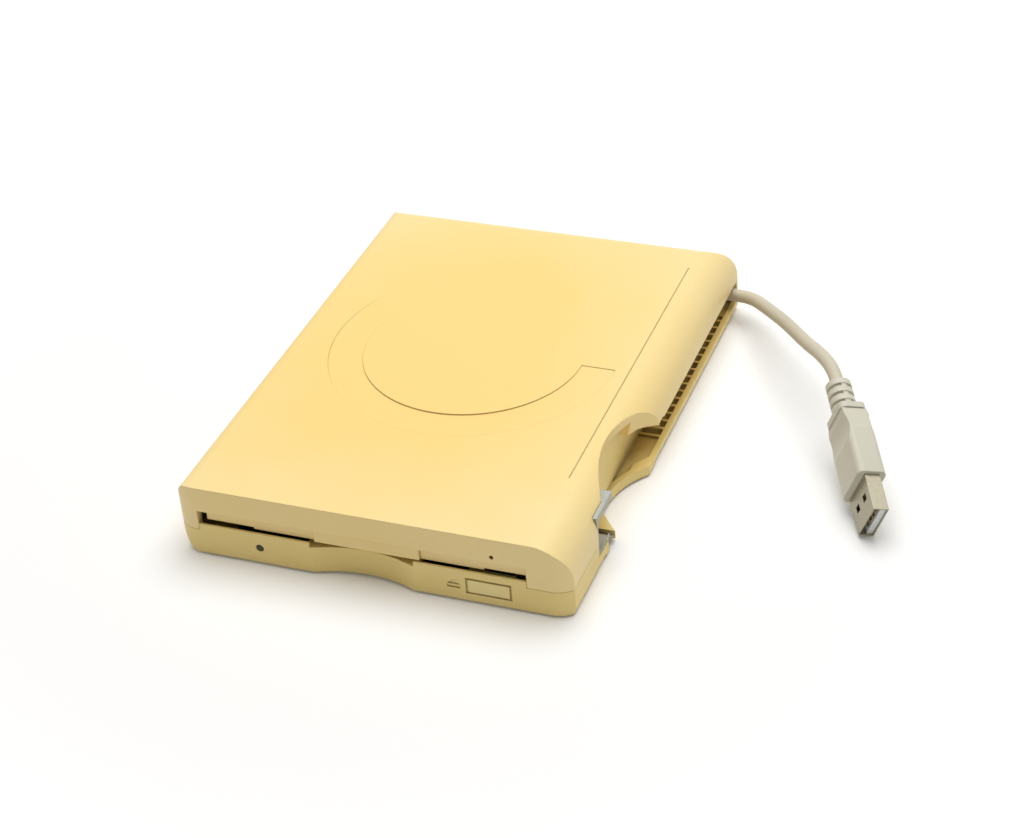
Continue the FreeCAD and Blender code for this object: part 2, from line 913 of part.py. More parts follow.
def make_bottom_shell():
    piece = Piece("bottom_shell")
    piece.plate(
        "front",
        rear,
        size.case_depth,
        [
            (left, base, size.keel_left_radius),
            (right, base, size.keel_right_radius),
            (right, rim),
            (left, rim),
        ],
    )
    hollow_floor(piece)
    open_floor_stowage(piece)
    raise_front_lip(piece)
    raise_channel_wall(piece)
    add_floor_posts(piece)
    cut_controls(piece)
    for x in feet_x:
        for y in feet_y:
            piece.bore("z", (x, y, base - PAST), PAST + size.foot_recess, size.foot_radius)


def hollow_floor(piece):
    above = parting + PAST
    corner = (bay_left, floor, size.keel_left_radius - size.wall)
    path = [corner, (bay_right, floor), (bay_right, above), (bay_left, above)]
    piece.opening("front", front_inner, size.case_depth - size.front_wall - size.wall, path)
    piece.hollow(
        (channel_inner, right - size.wall),
        (front_inner, front + size.dock_front - size.channel_wall),
        (floor, above),
    )


def open_floor_stowage(piece):
    """Dock, plug well, notch, cord channel and its comb, in the floor's right edge."""
    above = parting + PAST
    dock_front = front + size.dock_front
    well_front = front + size.well_front
    flare_front = well_front - size.flare_run - size.channel_wall / 3
    comb_front = front + size.comb_front
    comb_rear = comb_front + size.comb_pitch * size.comb_slots
    piece.hollow((channel_inner, right - size.channel_lip), (well_front, comb_front), (floor, above))
    piece.hollow((channel_inner, right - size.channel_lip), (comb_rear, channel_rear), (floor, above))
    piece.hollow((channel_inner, outside), (well_front, channel_rear), (lip_top, above))
    edge_notch(piece)
    piece.hollow((channel_inner, outside), (dock_front, well_front), (base + size.dock_floor, above))
    piece.hollow(
        (channel_inner, outside),
        (flare_front, well_front),
        (base + size.flare_floor, above),
    )
    ledge = [(channel_inner, well_front), (right, well_front), (right - size.wall, well_front + PAST)]
    ledge += [(right - 3 * PAST, front + size.lower_notch_y - 2 * PAST - size.wall)]
    ledge += [(channel_inner, front + size.lower_notch_y - 2 * PAST - size.wall)]
    piece.plate("top", base, lip_top - base, ledge)
    gap = size.comb_pitch - size.comb_rib
    for index in range(int(number(size.comb_slots))):
        start = comb_front + size.comb_pitch * index + size.comb_rib
        piece.hollow(
            (channel_inner, right - size.channel_lip), (start, start + gap), (base - PAST, above)
        )


def edge_notch(piece):
    """The finger notch in the floor, with a raised lip around it that bulges at its rear end."""
    x = left + size.lower_notch_x
    y = front + size.lower_notch_y
    radius = size.lower_notch_radius
    height = lip_top - base
    piece.rod("z", (x, y, base), height, radius + size.notch_lip)
    start = front + size.bulge_front
    finish = start + size.bulge_length
    inner = right - size.bulge_width
    bulge = [(right, start), (right, finish), (right - size.channel_lip / 2, finish)]
    bulge += [(inner, start + size.bulge_length / 2), (inner, start)]
    piece.plate("top", base, height, bulge)
    piece.flare((x, y, base - PAST), height + 2 * PAST, radius, radius + size.lower_notch_flare)
    piece.hollow((right, x + radius * 2), (y - radius * 2, y + radius * 2), (base - PAST, lip_top + PAST))


def raise_front_lip(piece):
    """The lower lip of the slot, with the thumb scoop cut into it."""
    play = size.seam_gap
    piece.block(
        (slot_left + play, slot_right - play), (front, front_inner), (rim - PAST, slot_bottom)
    )
    scoop_left = slot_left + size.scoop_left
    scoop_right = scoop_left + size.scoop_width
    piece.block(
        (scoop_left - PAST, scoop_right + PAST),
        (front, front + size.scoop_backing),
        (base + size.floor_thickness / 2, slot_bottom - size.lip_ramp),
    )
    piece.hollow(
        (slot_left, slot_right),
        (front + size.lip_edge, front_inner + PAST),
        (slot_bottom - size.lip_ramp, slot_bottom + PAST),
    )
    piece.hollow(
        (scoop_left - size.lip_edge, scoop_right + size.lip_edge),
        (front - PAST, front_inner + PAST),
        (slot_bottom - size.lip_ramp, slot_bottom + PAST),
    )
    round_front_corners(piece)
    half = number(size.scoop_width) / 2
    depth = number(size.scoop_depth)
    radius = (half * half + depth * depth) / (2 * depth)
    middle = scoop_left + size.scoop_width / 2
    piece.bore("z", (middle, front + size.scoop_depth - radius, base - PAST), slot_top, radius)


def raise_channel_wall(piece):
    """The wall between the mechanism and the stowage channel."""
    roll = rear - size.roof_rear_radius
    low = floor - size.floor_thickness / 2
    across = (bay_right, channel_inner)
    piece.block(across, (front_inner - size.seam_gap, rear_inner + size.seam_gap), (low, rim))
    piece.block(
        across,
        (front_inner + size.seam_gap, rear_inner - size.seam_gap),
        (low, base + size.channel_wall_rear_top),
    )
    piece.block(across, (front_inner + size.seam_gap, roll), (low, base + size.channel_wall_top))
    half_width = size.gland_width / 2
    half_height = size.gland_height / 2
    piece.hollow(
        (bay_right - PAST, channel_inner + PAST),
        (cord_y - half_width, cord_y + half_width),
        (cord_z - half_height, cord_z + half_height),
    )


def add_floor_posts(piece):
    """Posts for the mechanism and the boards, and bosses for the case's screws."""
    low = floor - size.floor_thickness / 2
    sunk = size.floor_thickness / 2
    for x in posts_x:
        for y in posts_y:
            piece.rod("z", (x, y, low), size.post_height + sunk, size.post_radius)
            piece.bore("z", (x, y, floor), size.post_height + PAST, size.screw_radius)
        piece.rod("z", (x, boss_y, low), rim - low, size.post_radius)
        piece.bore("z", (x, boss_y, base - PAST), parting + PAST, size.screw_hole)
        piece.bore("z", (x, boss_y, base - PAST), PAST + size.floor_thickness, size.screw_head_radius)
    near = size.board_post_radius * 2
    main_rear = board_front + size.main_board_length - near
    interface_rear = interface_front + size.interface_length - near
    spots = [(board_left + near, board_front + near), (board_right - near, board_front + near)]
    spots += [(board_left + near, main_rear), (board_right - near, main_rear)]
    spots += [(interface_left + near, interface_front + near), (interface_left + near, interface_rear)]
    spots += [(interface_right - near, interface_front + near), (interface_right - near, interface_rear)]
    for x, y in spots:
        piece.rod("z", (x, y, low), size.board_gap + sunk, size.board_post_radius)


def cut_controls(piece):
    """Button window, lamp hole and the generic eject mark."""
    gap = size.control_gap
    half = size.button_height / 2
    piece.hollow(
        (button_left - gap, button_right + gap),
        (front - PAST, front_inner + PAST / 2),
        (control_z - half - gap, control_z + half + gap),
    )
    rim = gap + size.button_rim
    piece.hollow(
        (button_left - rim, button_right + rim),
        (front - PAST, front + size.button_rim),
        (control_z - half - rim, control_z + half + rim),
    )
    through = size.front_wall + PAST
    piece.bore("y", (lamp_x, front - PAST, control_z), through + PAST / 2, size.lamp_radius + gap)
    mark_right = button_left - size.mark_from_button
    mark_left = mark_right - size.mark_width
    low = control_z - size.mark_bar - size.mark_height / 2
    deep = front + size.mark_depth
    piece.hollow((mark_left, mark_right), (front - PAST, deep), (low, low + size.mark_bar))
    arrow = low + size.mark_bar * 2
    tip = ((mark_left + mark_right) / 2, arrow + size.mark_height)
    piece.opening(
        "front", front - PAST, PAST + deep - front, [(mark_left, arrow), (mark_right, arrow), tip]
    )


# ---------------------------------------------------------------- flap and front controls
def make_flap():
    piece = Piece("disk_flap")
    plate_front = hinge_y - size.flap_thickness
    piece.block((flap_left, flap_right), (plate_front, hinge_y), (flap_bottom, hinge_z))
    boss_left = flap_left + size.flap_boss_left
    piece.block(
        (boss_left, boss_left + size.flap_boss_width),
        (plate_front - size.flap_boss_rise, hinge_y),
        (flap_bottom, flap_bottom + size.flap_boss_height),
    )
    step = (flap_bottom - PAST, flap_bottom + size.flap_end_step)
    piece.hollow((flap_left - PAST, flap_left + size.flap_left_end), (front, hinge_y + PAST), step)
    piece.hollow((flap_right - size.flap_right_end, flap_right + PAST), (front, hinge_y + PAST), step)
    barrel = size.flap_barrel_length
    for start in (flap_left, flap_right - barrel):
        piece.rod("x", (start, hinge_y, hinge_z), barrel, size.flap_thickness)
    clear = size.pin_radius + size.hinge_clearance
    around = (front, hinge_y + PAST)
    spring_end = flap_left + size.left_pin_length
    piece.hollow((flap_left + barrel, spring_end), around, (hinge_z - PAST, hinge_z + PAST))
    notch = size.eject_hole_radius * 2
    piece.hollow((eject_x - notch, eject_x + notch), around, (eject_z - notch, hinge_z + PAST))
    for start in (flap_left - PAST, flap_right - barrel - PAST):
        piece.bore("x", (start, hinge_y, hinge_z), barrel + 2 * PAST, clear)
    pins = [
        loose_rod("x", (slot_left, hinge_y, hinge_z), size.left_pin_length, size.pin_radius),
        loose_rod(
            "x", (flap_right - barrel, hinge_y, hinge_z), size.right_pin_length, size.pin_radius
        ),
    ]
    group("flap_pins", pins)
    make_flap_spring(flap_left + barrel)


def make_flap_spring(start):
    """A closed torsion spring around the left pin, with one leg up and one leg inward."""
    wire = number(size.spring_wire)
    radius = number(size.spring_radius)
    turns = number(size.spring_turns)
    pitch = wire * 3
    helix = Part.makeHelix(pitch, pitch * turns, radius)
    profile = Part.Wire(Part.makeCircle(wire, Vector(radius, 0, 0), Vector(0, 1, 0)))
    coil = Part.Wire(helix).makePipeShell([profile], True, True)
    leg = number(size.spring_leg)
    low = Part.makeCylinder(wire, leg, Vector(radius, 0, 0), Vector(0, 1, 0))
    high = Part.makeCylinder(wire, leg, Vector(radius, 0, pitch * turns), Vector(0, -1, 0))
    spring = coil.fuse([low, high]).removeSplitter()
    along = number(start) + wire * 3
    turned = FreeCAD.Rotation(Vector(0, 1, 0), 90)
    spring.Placement = FreeCAD.Placement(Vector(along, number(hinge_y), number(hinge_z)), turned)
    shaped("flap_spring", spring)


def make_controls():
    piece = Piece("eject_button")
    half = size.button_height / 2
    height = (control_z - half, control_z + half)
    button_rear = front + size.button_depth
    piece.block((button_left, button_right), (front, button_rear), height)
    flange = size.button_flange
    flange_front = front_inner + size.seam_gap
    piece.block(
        (button_left - flange, button_right + flange),
        (flange_front, button_rear),
        (control_z - half - flange, control_z + half + flange),
    )
    stem = size.stem_size / 2
    stem_rear = button_rear + size.stem_length
    piece.block((button_x - stem, button_x + stem), (front_inner, stem_rear), (control_z - stem, control_z + stem))
    plunger = Piece("switch_plunger")
    plunger.rod("y", (button_x, stem_rear, control_z), size.plunger_length, size.plunger_radius)
    switch_front = stem_rear + size.plunger_length / 2
    half = size.switch_width / 2
    switch = Piece("eject_switch")
    switch.block(
        (button_x - half, button_x + half),
        (switch_front, switch_front + size.switch_depth),
        (board_top, board_top + size.switch_height),
    )
    switch.bore(
        "y",
        (button_x, switch_front - PAST, control_z),
        PAST + size.plunger_length / 2 + size.button_travel + size.control_gap,
        size.plunger_radius + size.hinge_clearance,
    )
    make_lamp()


def make_lamp():
    lamp_front = front + size.control_gap
    piece = Piece("busy_lamp")
    piece.rod("y", (lamp_x, lamp_front, control_z), size.lamp_length, size.lamp_radius)
    collar = size.lamp_collar - size.lamp_radius
    piece.rod("y", (lamp_x, front_inner, control_z), collar, size.lamp_collar)
    half = size.diode_size / 2
    diode_front = lamp_front + size.lamp_length + size.seam_gap
    diode = Piece("lamp_diode")
    diode.block(
        (lamp_x - half, lamp_x + half),
        (diode_front, diode_front + size.diode_size),
        (board_top, board_top + size.diode_size),
    )


# ---------------------------------------------------------------- stowage dock, plug and cord
def make_dock():
    piece = Piece("plug_dock")
    sheet_t = size.sleeve_sheet
    x = (right - size.sleeve_inset - size.sleeve_width, right - size.sleeve_inset)
    y_front = front + size.dock_front + size.seam_gap
    y = (y_front, y_front + size.sleeve_length)
    z = (base + size.sleeve_bottom, base + size.sleeve_bottom + size.sleeve_height)
    piece.block(x, y, z)
    inside = (x[0] + sheet_t, x[1] - sheet_t)
    piece.hollow(inside, (y[0] + sheet_t, y[1] + PAST), (z[0] + sheet_t, z[1] - sheet_t))
    window = (z[0] + size.sleeve_strip_low, z[1] - size.sleeve_strip_high)
    piece.hollow((x[1] - 2 * sheet_t, x[1] + PAST), (y[0] + 3 * sheet_t, y[1] + PAST), window)
    start = y[1] - size.flare_run
    piece.hollow((x[0] - PAST, x[1] + PAST), (start, y[1] + PAST), (z[0] - PAST, window[0]))
    tip = z[0] - size.flare_drop
    flare = [(start, z[0]), (y[1], tip), (y[1], tip + sheet_t), (start, z[0] + sheet_t)]
    flare.insert(0, (start - sheet_t, z[0]))
    flare.append((start - sheet_t, z[0] + sheet_t))
    piece.plate("side", x[0], size.sleeve_width, flare)


def plug_placement():
    tip = Vector(number(size.plug_tip_x), number(size.plug_tip_y), number(size.plug_tip_z))
    turn = FreeCAD.Rotation(number(size.plug_turn), number(size.plug_lean), number(size.plug_dip))
    return FreeCAD.Placement(tip, turn)


def lay_plug(item):
    """The plug is drawn with its tip at the origin and its cord towards +Y, then laid on the table."""
    item.Placement = plug_placement()
    bind_place(item, size.plug_tip_x, size.plug_tip_y, size.plug_tip_z)


def ringed(half_x, half_z):
    """A rounded oblong about the plug's axis."""
    corners = ((-1, -1), (1, -1), (1, 1), (-1, 1))
    return [(half_x * across, half_z * up, size.wall) for across, up in corners]


def make_plug():
    half_w = size.shell_width / 2
    half_t = size.shell_thickness / 2
    sheet_t = size.shell_sheet
    shell = Piece("plug_shell")
    shell.block((-half_t, half_t), (0, size.shell_length), (-half_w, half_w))
    shell.hollow(
        (-half_t + sheet_t, half_t - sheet_t), (-PAST, size.shell_length + PAST), (-half_w + sheet_t, half_w - sheet_t)
    )
    for side in (-1, 1):
        low = size.latch_spacing / 2 * side - size.latch_size / 2
        shell.hollow(
            (-half_t - PAST, half_t + PAST),
            (size.latch_from_tip, size.latch_from_tip + size.latch_size),
            (low, low + size.latch_size),
        )
    tongue_right = half_t - sheet_t
    tongue_left = tongue_right - size.tongue_thickness
    tongue = Piece("plug_tongue")
    tongue.block(
        (tongue_left, tongue_right), (size.tongue_inset, size.shell_length), (-half_w + sheet_t, half_w - sheet_t)
    )
    contacts = []
    for index in range(4):
        middle = size.contact_pitch * (index - 1.5)
        contacts.append(
            loose_box(
                (tongue_left - size.contact_thickness, tongue_left),
                (size.contact_inset, size.contact_inset + size.contact_length),
                (middle - size.contact_width / 2, middle + size.contact_width / 2),
            )
        )
    pins = group("plug_contacts", contacts)
    body = Piece("plug_body")
    body_rear = size.shell_length + size.body_length
    half_x = size.body_thickness / 2
    half_z = size.body_width / 2
    neck_x = size.neck_thickness / 2
    neck_z = size.neck_width / 2
    body.plate("front", body_rear, size.body_length, ringed(half_x, half_z))
    neck = body_rear - size.neck_length
    far = body_rear + PAST
    for side in (-1, 1):
        flank = [(half_x * side, neck), (neck_x * side, body_rear), (neck_x * side, far)]
        flank += [((half_x + PAST) * side, far), ((half_x + PAST) * side, neck)]
        body.opening("top", half_z + PAST, 2 * half_z + 2 * PAST, flank)
        flank = [(neck, half_z * side), (body_rear, neck_z * side), (far, neck_z * side)]
        flank += [(far, (half_z + PAST) * side), (neck, (half_z + PAST) * side)]
        body.opening("side", half_x + PAST, 2 * half_x + 2 * PAST, flank)
    chord = number(size.grip_length) / 2
    depth = number(size.grip_depth)
    bend = (chord * chord + depth * depth) / (2 * depth)
    middle = size.shell_length + size.grip_front + size.grip_length / 2
    for side in (-1, 1):
        axis = (half_x + bend - size.grip_depth) * side
        body.bore("z", (axis, middle, -half_z - PAST), 2 * half_z + 2 * PAST, bend)
    rise = size.collar_rise
    collar = ringed(neck_x + rise, neck_z + rise)
    body.plate("front", body_rear + size.collar_length, size.collar_length, collar)
    sleeve = Piece("cord_sleeve")
    start = body_rear + size.collar_length
    length = size.relief_sleeve_length
    outer = size.relief_sleeve_radius
    sleeve.rod("y", (0, start, 0), length, outer - size.relief_ring_depth)
    count = int(number(size.relief_ring_count))
    ring_width = length - size.relief_ring_pitch * (count - 1)
    for index in range(count):
        sleeve.rod("y", (0, start + size.relief_ring_pitch * index, 0), ring_width, outer)
    spine = size.relief_spine / 2
    reach = outer - size.relief_ring_depth / 4
    sleeve.block((-spine, spine), (start, start + length), (-reach, reach))
    for item in (shell.body, tongue.body, pins, body.body, sleeve.body):
        lay_plug(item)


def bent_tube(points, radius):
    """A tube of straight runs joined by tangent arcs."""
    edges = []
    start = points[0]
    for index in range(1, len(points) - 1):
        corner = points[index]
        incoming = (corner - points[index - 1]).normalize()
        outgoing = (points[index + 1] - corner).normalize()
        turn = incoming.getAngle(outgoing)
        shorter = min(corner.distanceToPoint(points[index - 1]), points[index + 1].distanceToPoint(corner))
        reach = 0.45 * shorter
        bend = reach / math.tan(turn / 2)
        print("cord bend %d: radius %.1f mm, turn %.1f degrees" % (index, bend, math.degrees(turn)))
        first = corner - incoming * reach
        last = corner + outgoing * reach
        inward = (outgoing - incoming).normalize()
        middle = corner + inward * (bend / math.cos(turn / 2) - bend)
        edges.append(Part.LineSegment(start, first).toShape())
        edges.append(Part.Arc(first, middle, last).toShape())
        start = last
    edges.append(Part.LineSegment(start, points[-1]).toShape())
    route = Part.Wire(edges)
    along = (points[1] - points[0]).normalize()
    profile = Part.Wire(Part.makeCircle(radius, points[0], along))
    tube = route.makePipeShell([profile], True, False)
    share = tube.Volume / (route.Length * math.pi * radius * radius)
    print("cord length %.1f mm, volume share %.4f" % (route.Length, share))
    return tube


def make_cord():
    placed = plug_placement()
    sleeve_rear = size.shell_length + size.body_length + size.collar_length + size.relief_sleeve_length
    finish_point = placed.multVec(Vector(0, number(sleeve_rear), 0))
    along = placed.Rotation.multVec(Vector(0, 1, 0))
    start = Vector(number(gland_right), number(cord_y), number(cord_z))
    points = [start] + [Vector(*point) for point in CORD_ROUTE]
    points += [finish_point + along * 6.15, finish_point]
    for point in points:
        print("route %.2f %.2f %.2f" % tuple(point))
    shaped("usb_cord", bent_tube(points, number(size.cord_diameter) / 2))
    half_width = size.gland_width / 2
    half_height = size.gland_height / 2
    gland = Piece("cord_gland")
    gland.block(
        (gland_left, gland_right),
        (cord_y - half_width, cord_y + half_width),
        (cord_z - half_height, cord_z + half_height),
    )
    braid = Piece("cord_braid")
    braid_left = gland_left - size.braid_length
    braid.rod("x", (braid_left, cord_y, cord_z), size.braid_length, size.braid_radius)
    half = size.connector_width / 2
    plug = Piece("cord_connector")
    plug.block(
        (braid_left - size.connector_length, braid_left),
        (cord_y - size.connector_width, cord_y + size.braid_radius),
        (board_top, board_top + size.connector_height),
    )


# ---------------------------------------------------------------- fixings and boards
def make_fixings():
    feet = []
    grommets = []
    screws = []
    case_screws = []
    grommet_low = floor + size.post_height
    for x in feet_x:
        for y in feet_y:
            feet.append(loose_rod("z", (x, y, 0), base + size.foot_recess, size.foot_radius))
    for x in posts_x:
        for y in posts_y:
            spot = (x, y, grommet_low)
            grommets.append(loose_ring(spot, size.grommet_height, size.post_radius, size.screw_hole))
            shank = loose_rod("z", (x, y, floor + size.wall / 2), deck - floor, size.screw_radius)
            head = loose_rod("z", (x, y, deck), size.screw_head_height, size.screw_head_radius)
            screws.append(joined([shank, head]))
        head_low = base + size.floor_thickness - size.screw_head_height
        head = loose_rod("z", (x, boss_y, head_low), size.screw_head_height, size.screw_head_radius - size.seam_gap)
        shank = loose_rod("z", (x, boss_y, head_low), parting + size.post_radius, size.screw_radius)
        case_screws.append(joined([head, shank]))
    group("rubber_feet", feet)
    group("mount_grommets", grommets)
    group("mount_screws", screws)
    group("case_screws", case_screws)


def make_boards():
    board = Piece("main_board")
    board_rear = board_front + size.main_board_length
    board.block((board_left, board_right), (board_front, board_rear), (board_bottom, board_top))
    chips = []
    for x, y, width, length in CHIPS:
        low_x = board_left + x
        low_y = board_front + y
        chips.append(
            loose_box((low_x, low_x + width), (low_y, low_y + length), (board_top, board_top + size.chip_height))
        )
    group("board_chips", chips)
    other = Piece("interface_board")
    interface_rear = interface_front + size.interface_length
    other.block((interface_left, interface_right), (interface_front, interface_rear), (board_bottom, board_top))
    chip = Piece("bridge_chip")
    chip_left = interface_left + size.bridge_chip_size
    chip_front = interface_front + size.interface_length / 4
    chip.block(
        (chip_left, chip_left + size.bridge_chip_size),
        (chip_front, chip_front + size.bridge_chip_size),
        (board_top, board_top + size.chip_height),
    )
    ribbon = Piece("board_ribbon")
    half = size.ribbon_width / 2
    ribbon_front = front + size.ribbon_front
    ribbon.block(
        (centre - half, centre + half),
        (ribbon_front, ribbon_front + size.ribbon_length),
        (board_top, board_top + size.ribbon_thickness),
    )


# ---------------------------------------------------------------- mechanism frame
def cam_spots():
    first = front + size.cam_pin_front
    return (first, first + size.cam_pin_spacing)


cam_z = slot_bottom - size.carrier_flange_drop + size.cam_pin_height / 2


def make_chassis():
    piece = Piece("chassis")
    y = (chassis_front, chassis_rear)
    piece.block((chassis_left, chassis_right), y, (chassis_bottom, cover_bottom))
    piece.hollow((wall_left, wall_right), (chassis_front - PAST, chassis_rear + PAST), (deck, cover_bottom + PAST))
    piece.bore("z", (centre, spindle_y, chassis_bottom - PAST), 2 * PAST + size.chassis_sheet, size.spindle_hole)
    slot = size.cam_pin_radius + size.cam_clearance
    for spot in cam_spots():
        piece.hollow(
            (chassis_left - PAST, chassis_right + PAST),
            (spot - slot, spot + slot),
            (cam_z - size.carrier_drop - slot, cam_z + slot),
        )
    for x in posts_x:
        for spot in posts_y:
            piece.bore("z", (x, spot, chassis_bottom - PAST), 2 * PAST + size.chassis_sheet, size.screw_radius)


def make_cover():
    piece = Piece("mechanism_cover")
    sheet_t = size.cover_sheet
    y = (chassis_front, chassis_rear)
    high = cover_bottom + sheet_t
    skirt = cover_bottom - size.cover_skirt
    piece.block((chassis_left - sheet_t, chassis_right + sheet_t), y, (skirt, high))
    piece.hollow((chassis_left, chassis_right), (y[0] - PAST, y[1] + PAST), (skirt - PAST, cover_bottom))
    half = size.cover_window / 2
    piece.hollow((centre - half, centre + half), (spindle_y - half, spindle_y + half), (cover_bottom - PAST, high + PAST))


def make_carrier():
    piece = Piece("disk_carrier")
    sheet_t = size.carrier_sheet
    half = size.carrier_width / 2
    inner = (centre - half, centre + half)
    outer = (inner[0] - sheet_t, inner[1] + sheet_t)
    y = (front + size.carrier_front, front + size.carrier_front + size.carrier_length)
    low = slot_bottom - size.carrier_flange_drop
    high = low + size.carrier_height
    piece.block(outer, y, (low, high))
    past = (y[0] - PAST, y[1] + PAST)
    piece.hollow(inner, past, (low + sheet_t, high - sheet_t))
    flange = size.carrier_flange
    piece.hollow((inner[0] + flange, inner[1] - flange), past, (low - PAST, low + PAST))
    window = size.window_half_width
    piece.hollow((centre - window, centre + window), (y[1] - size.window_length, y[1] + PAST), (high - PAST, high + PAST))
    for spot in cam_spots():
        piece.rod("x", (outer[0] - size.cam_pin_length, spot, cam_z), size.cam_pin_length, size.cam_pin_radius)
        piece.rod("x", (outer[1], spot, cam_z), size.cam_pin_length, size.cam_pin_radius)


def make_slide_plate():
    piece = Piece("slide_plate")
    low = deck + size.slide_play
    high = low + size.slide_sheet
    arm_top = low + size.slide_arm_height
    y = (front + size.slide_front, front + size.slide_front + size.slide_length)
    outer = (wall_left + size.slide_gap, wall_right - size.slide_gap)
    piece.block(outer, y, (low, arm_top))
    inner = (outer[0] + size.slide_sheet, outer[1] - size.slide_sheet)
    past = (y[0] - PAST, y[1] + PAST)
    piece.hollow(inner, past, (high, arm_top + PAST))
    strip = size.slide_strip
    across = (outer[0] + strip, outer[1] - strip)
    bridge = front + size.slide_bridge_front
    under = (low - PAST, high + PAST)
    piece.hollow(across, (y[0] - PAST, bridge), under)
    piece.hollow(across, (bridge + size.slide_bridge_width, y[1] + PAST), under)
    for spot in cam_spots():
        piece.opening("side", outside, size.case_width + 2 * PAST, cam_slot(spot))
    rack_line = chassis_right - size.rack_from_right
    bar = rack_line + size.gear_module * size.gear_dedendum
    piece.block((bar, bar + size.rack_bar), (y[1] - size.rack_bar, y[1] + size.rack_length), (low, low + size.rack_bar_height))
    piece.plate("top", low, size.rack_thickness, rack_teeth(rack_line))


def cam_slot(spot):
    """The slanting slot that carries a pin down while the plate moves back."""
    run = number(size.slide_travel)
    drop = number(size.carrier_drop)
    whole = math.hypot(run, drop)
    along = (-run / whole, -drop / whole)
    across = (-along[1], along[0])
    width = size.cam_pin_radius + size.cam_clearance
    over = size.cam_overrun
    start = (spot - over * along[0], cam_z - over * along[1])
    finish = (spot - size.slide_travel + over * along[0], cam_z - size.carrier_drop + over * along[1])
    corners = []
    for point, side in ((start, 1), (finish, 1), (finish, -1), (start, -1)):
        corners.append((point[0] + width * (across[0] * side), point[1] + width * (across[1] * side)))
    return corners


def rack_teeth(line):
    """Slant-sided teeth along the bar's left edge, with a gap in line with the gear at rest."""
    pitch = size.gear_module * math.pi
    slant = math.tan(math.radians(20))
    tip = line - size.gear_module * size.gear_addendum
    root = line + size.gear_module * size.gear_dedendum
    half_tip = pitch / 4 - size.gear_backlash / 2 - size.gear_module * size.gear_addendum * slant
    half_root = pitch / 4 - size.gear_backlash / 2 + size.gear_module * size.gear_dedendum * slant
    count = int(number(size.rack_teeth))
    middle = front + size.gear_from_front + pitch * 1.5
    first = middle - pitch * (count - 1)
    points = [(root + size.gear_module, first - pitch / 2)]
    for index in range(count):
        spot = first + pitch * index
        points += [(root, spot - half_root), (tip, spot - half_tip), (tip, spot + half_tip), (root, spot + half_root)]
    points.append((root + size.gear_module, middle + pitch / 2))
    return points


# ---------------------------------------------------------------- spindle
def make_spindle():
    plate_bottom = chassis_bottom - size.stator_thickness
    bearing_low = plate_bottom - size.bearing_flange
    half = size.stator_size / 2
    stator = Piece("spindle_stator")
    stator.block((centre - half, centre + half), (spindle_y - half, spindle_y + half), (plate_bottom, chassis_bottom))
    stator.bore("z", (centre, spindle_y, plate_bottom - PAST), 2 * PAST, size.bearing_radius)
    bearing = Piece("spindle_bearing")
    bearing.rod("z", (centre, spindle_y, bearing_low), size.bearing_length, size.bearing_radius)
    bearing.rod("z", (centre, spindle_y, bearing_low), size.bearing_flange, size.bearing_flange_radius)
    clear = size.shaft_radius + size.shaft_clearance
    bearing.bore("z", (centre, spindle_y, bearing_low - PAST), size.bearing_length + 2 * PAST, clear)
    shaft = Piece("spindle_shaft")
    shaft.rod("z", (centre, spindle_y, bearing_low + size.seam_gap), size.shaft_length, size.shaft_radius)
    coils = []
    count = int(number(size.coil_count))
    for index in range(count):
        angle = 2 * math.pi * index / count
        x = centre + size.coil_circle * math.cos(angle)
        y = spindle_y + size.coil_circle * math.sin(angle)
        coils.append(loose_ring((x, y, chassis_bottom), size.coil_height, size.coil_radius, size.coil_radius / 3))
    group("spindle_coils", coils)
    plate_low = chassis_bottom + size.rotor_plate
    plate_high = plate_low + size.rotor_plate_thickness
    rotor = Piece("spindle_rotor")
    skirt = chassis_bottom + size.rotor_skirt
    rotor.rod("z", (centre, spindle_y, skirt), plate_high - skirt, size.rotor_radius)
    rotor.rod("z", (centre, spindle_y, plate_low), size.rotor_plate_thickness + size.rotor_hub_height, size.rotor_hub_radius)
    rotor.bore("z", (centre, spindle_y, skirt - PAST), PAST + plate_low - skirt, size.rotor_radius - size.rotor_wall)
    peg = (centre + size.drive_peg_circle, spindle_y, plate_low)
    rotor.rod("z", peg, size.rotor_plate_thickness + size.rotor_hub_height * 1.6, size.drive_peg_radius)
    rotor.bore("z", (centre, spindle_y, plate_low - PAST), 3 * PAST, size.shaft_radius)
    ring = (centre, spindle_y, plate_low - size.magnet_thickness)
    magnet = loose_ring(ring, size.magnet_thickness, size.magnet_outer_radius, size.magnet_inner_radius)
    group("spindle_magnet", [magnet])


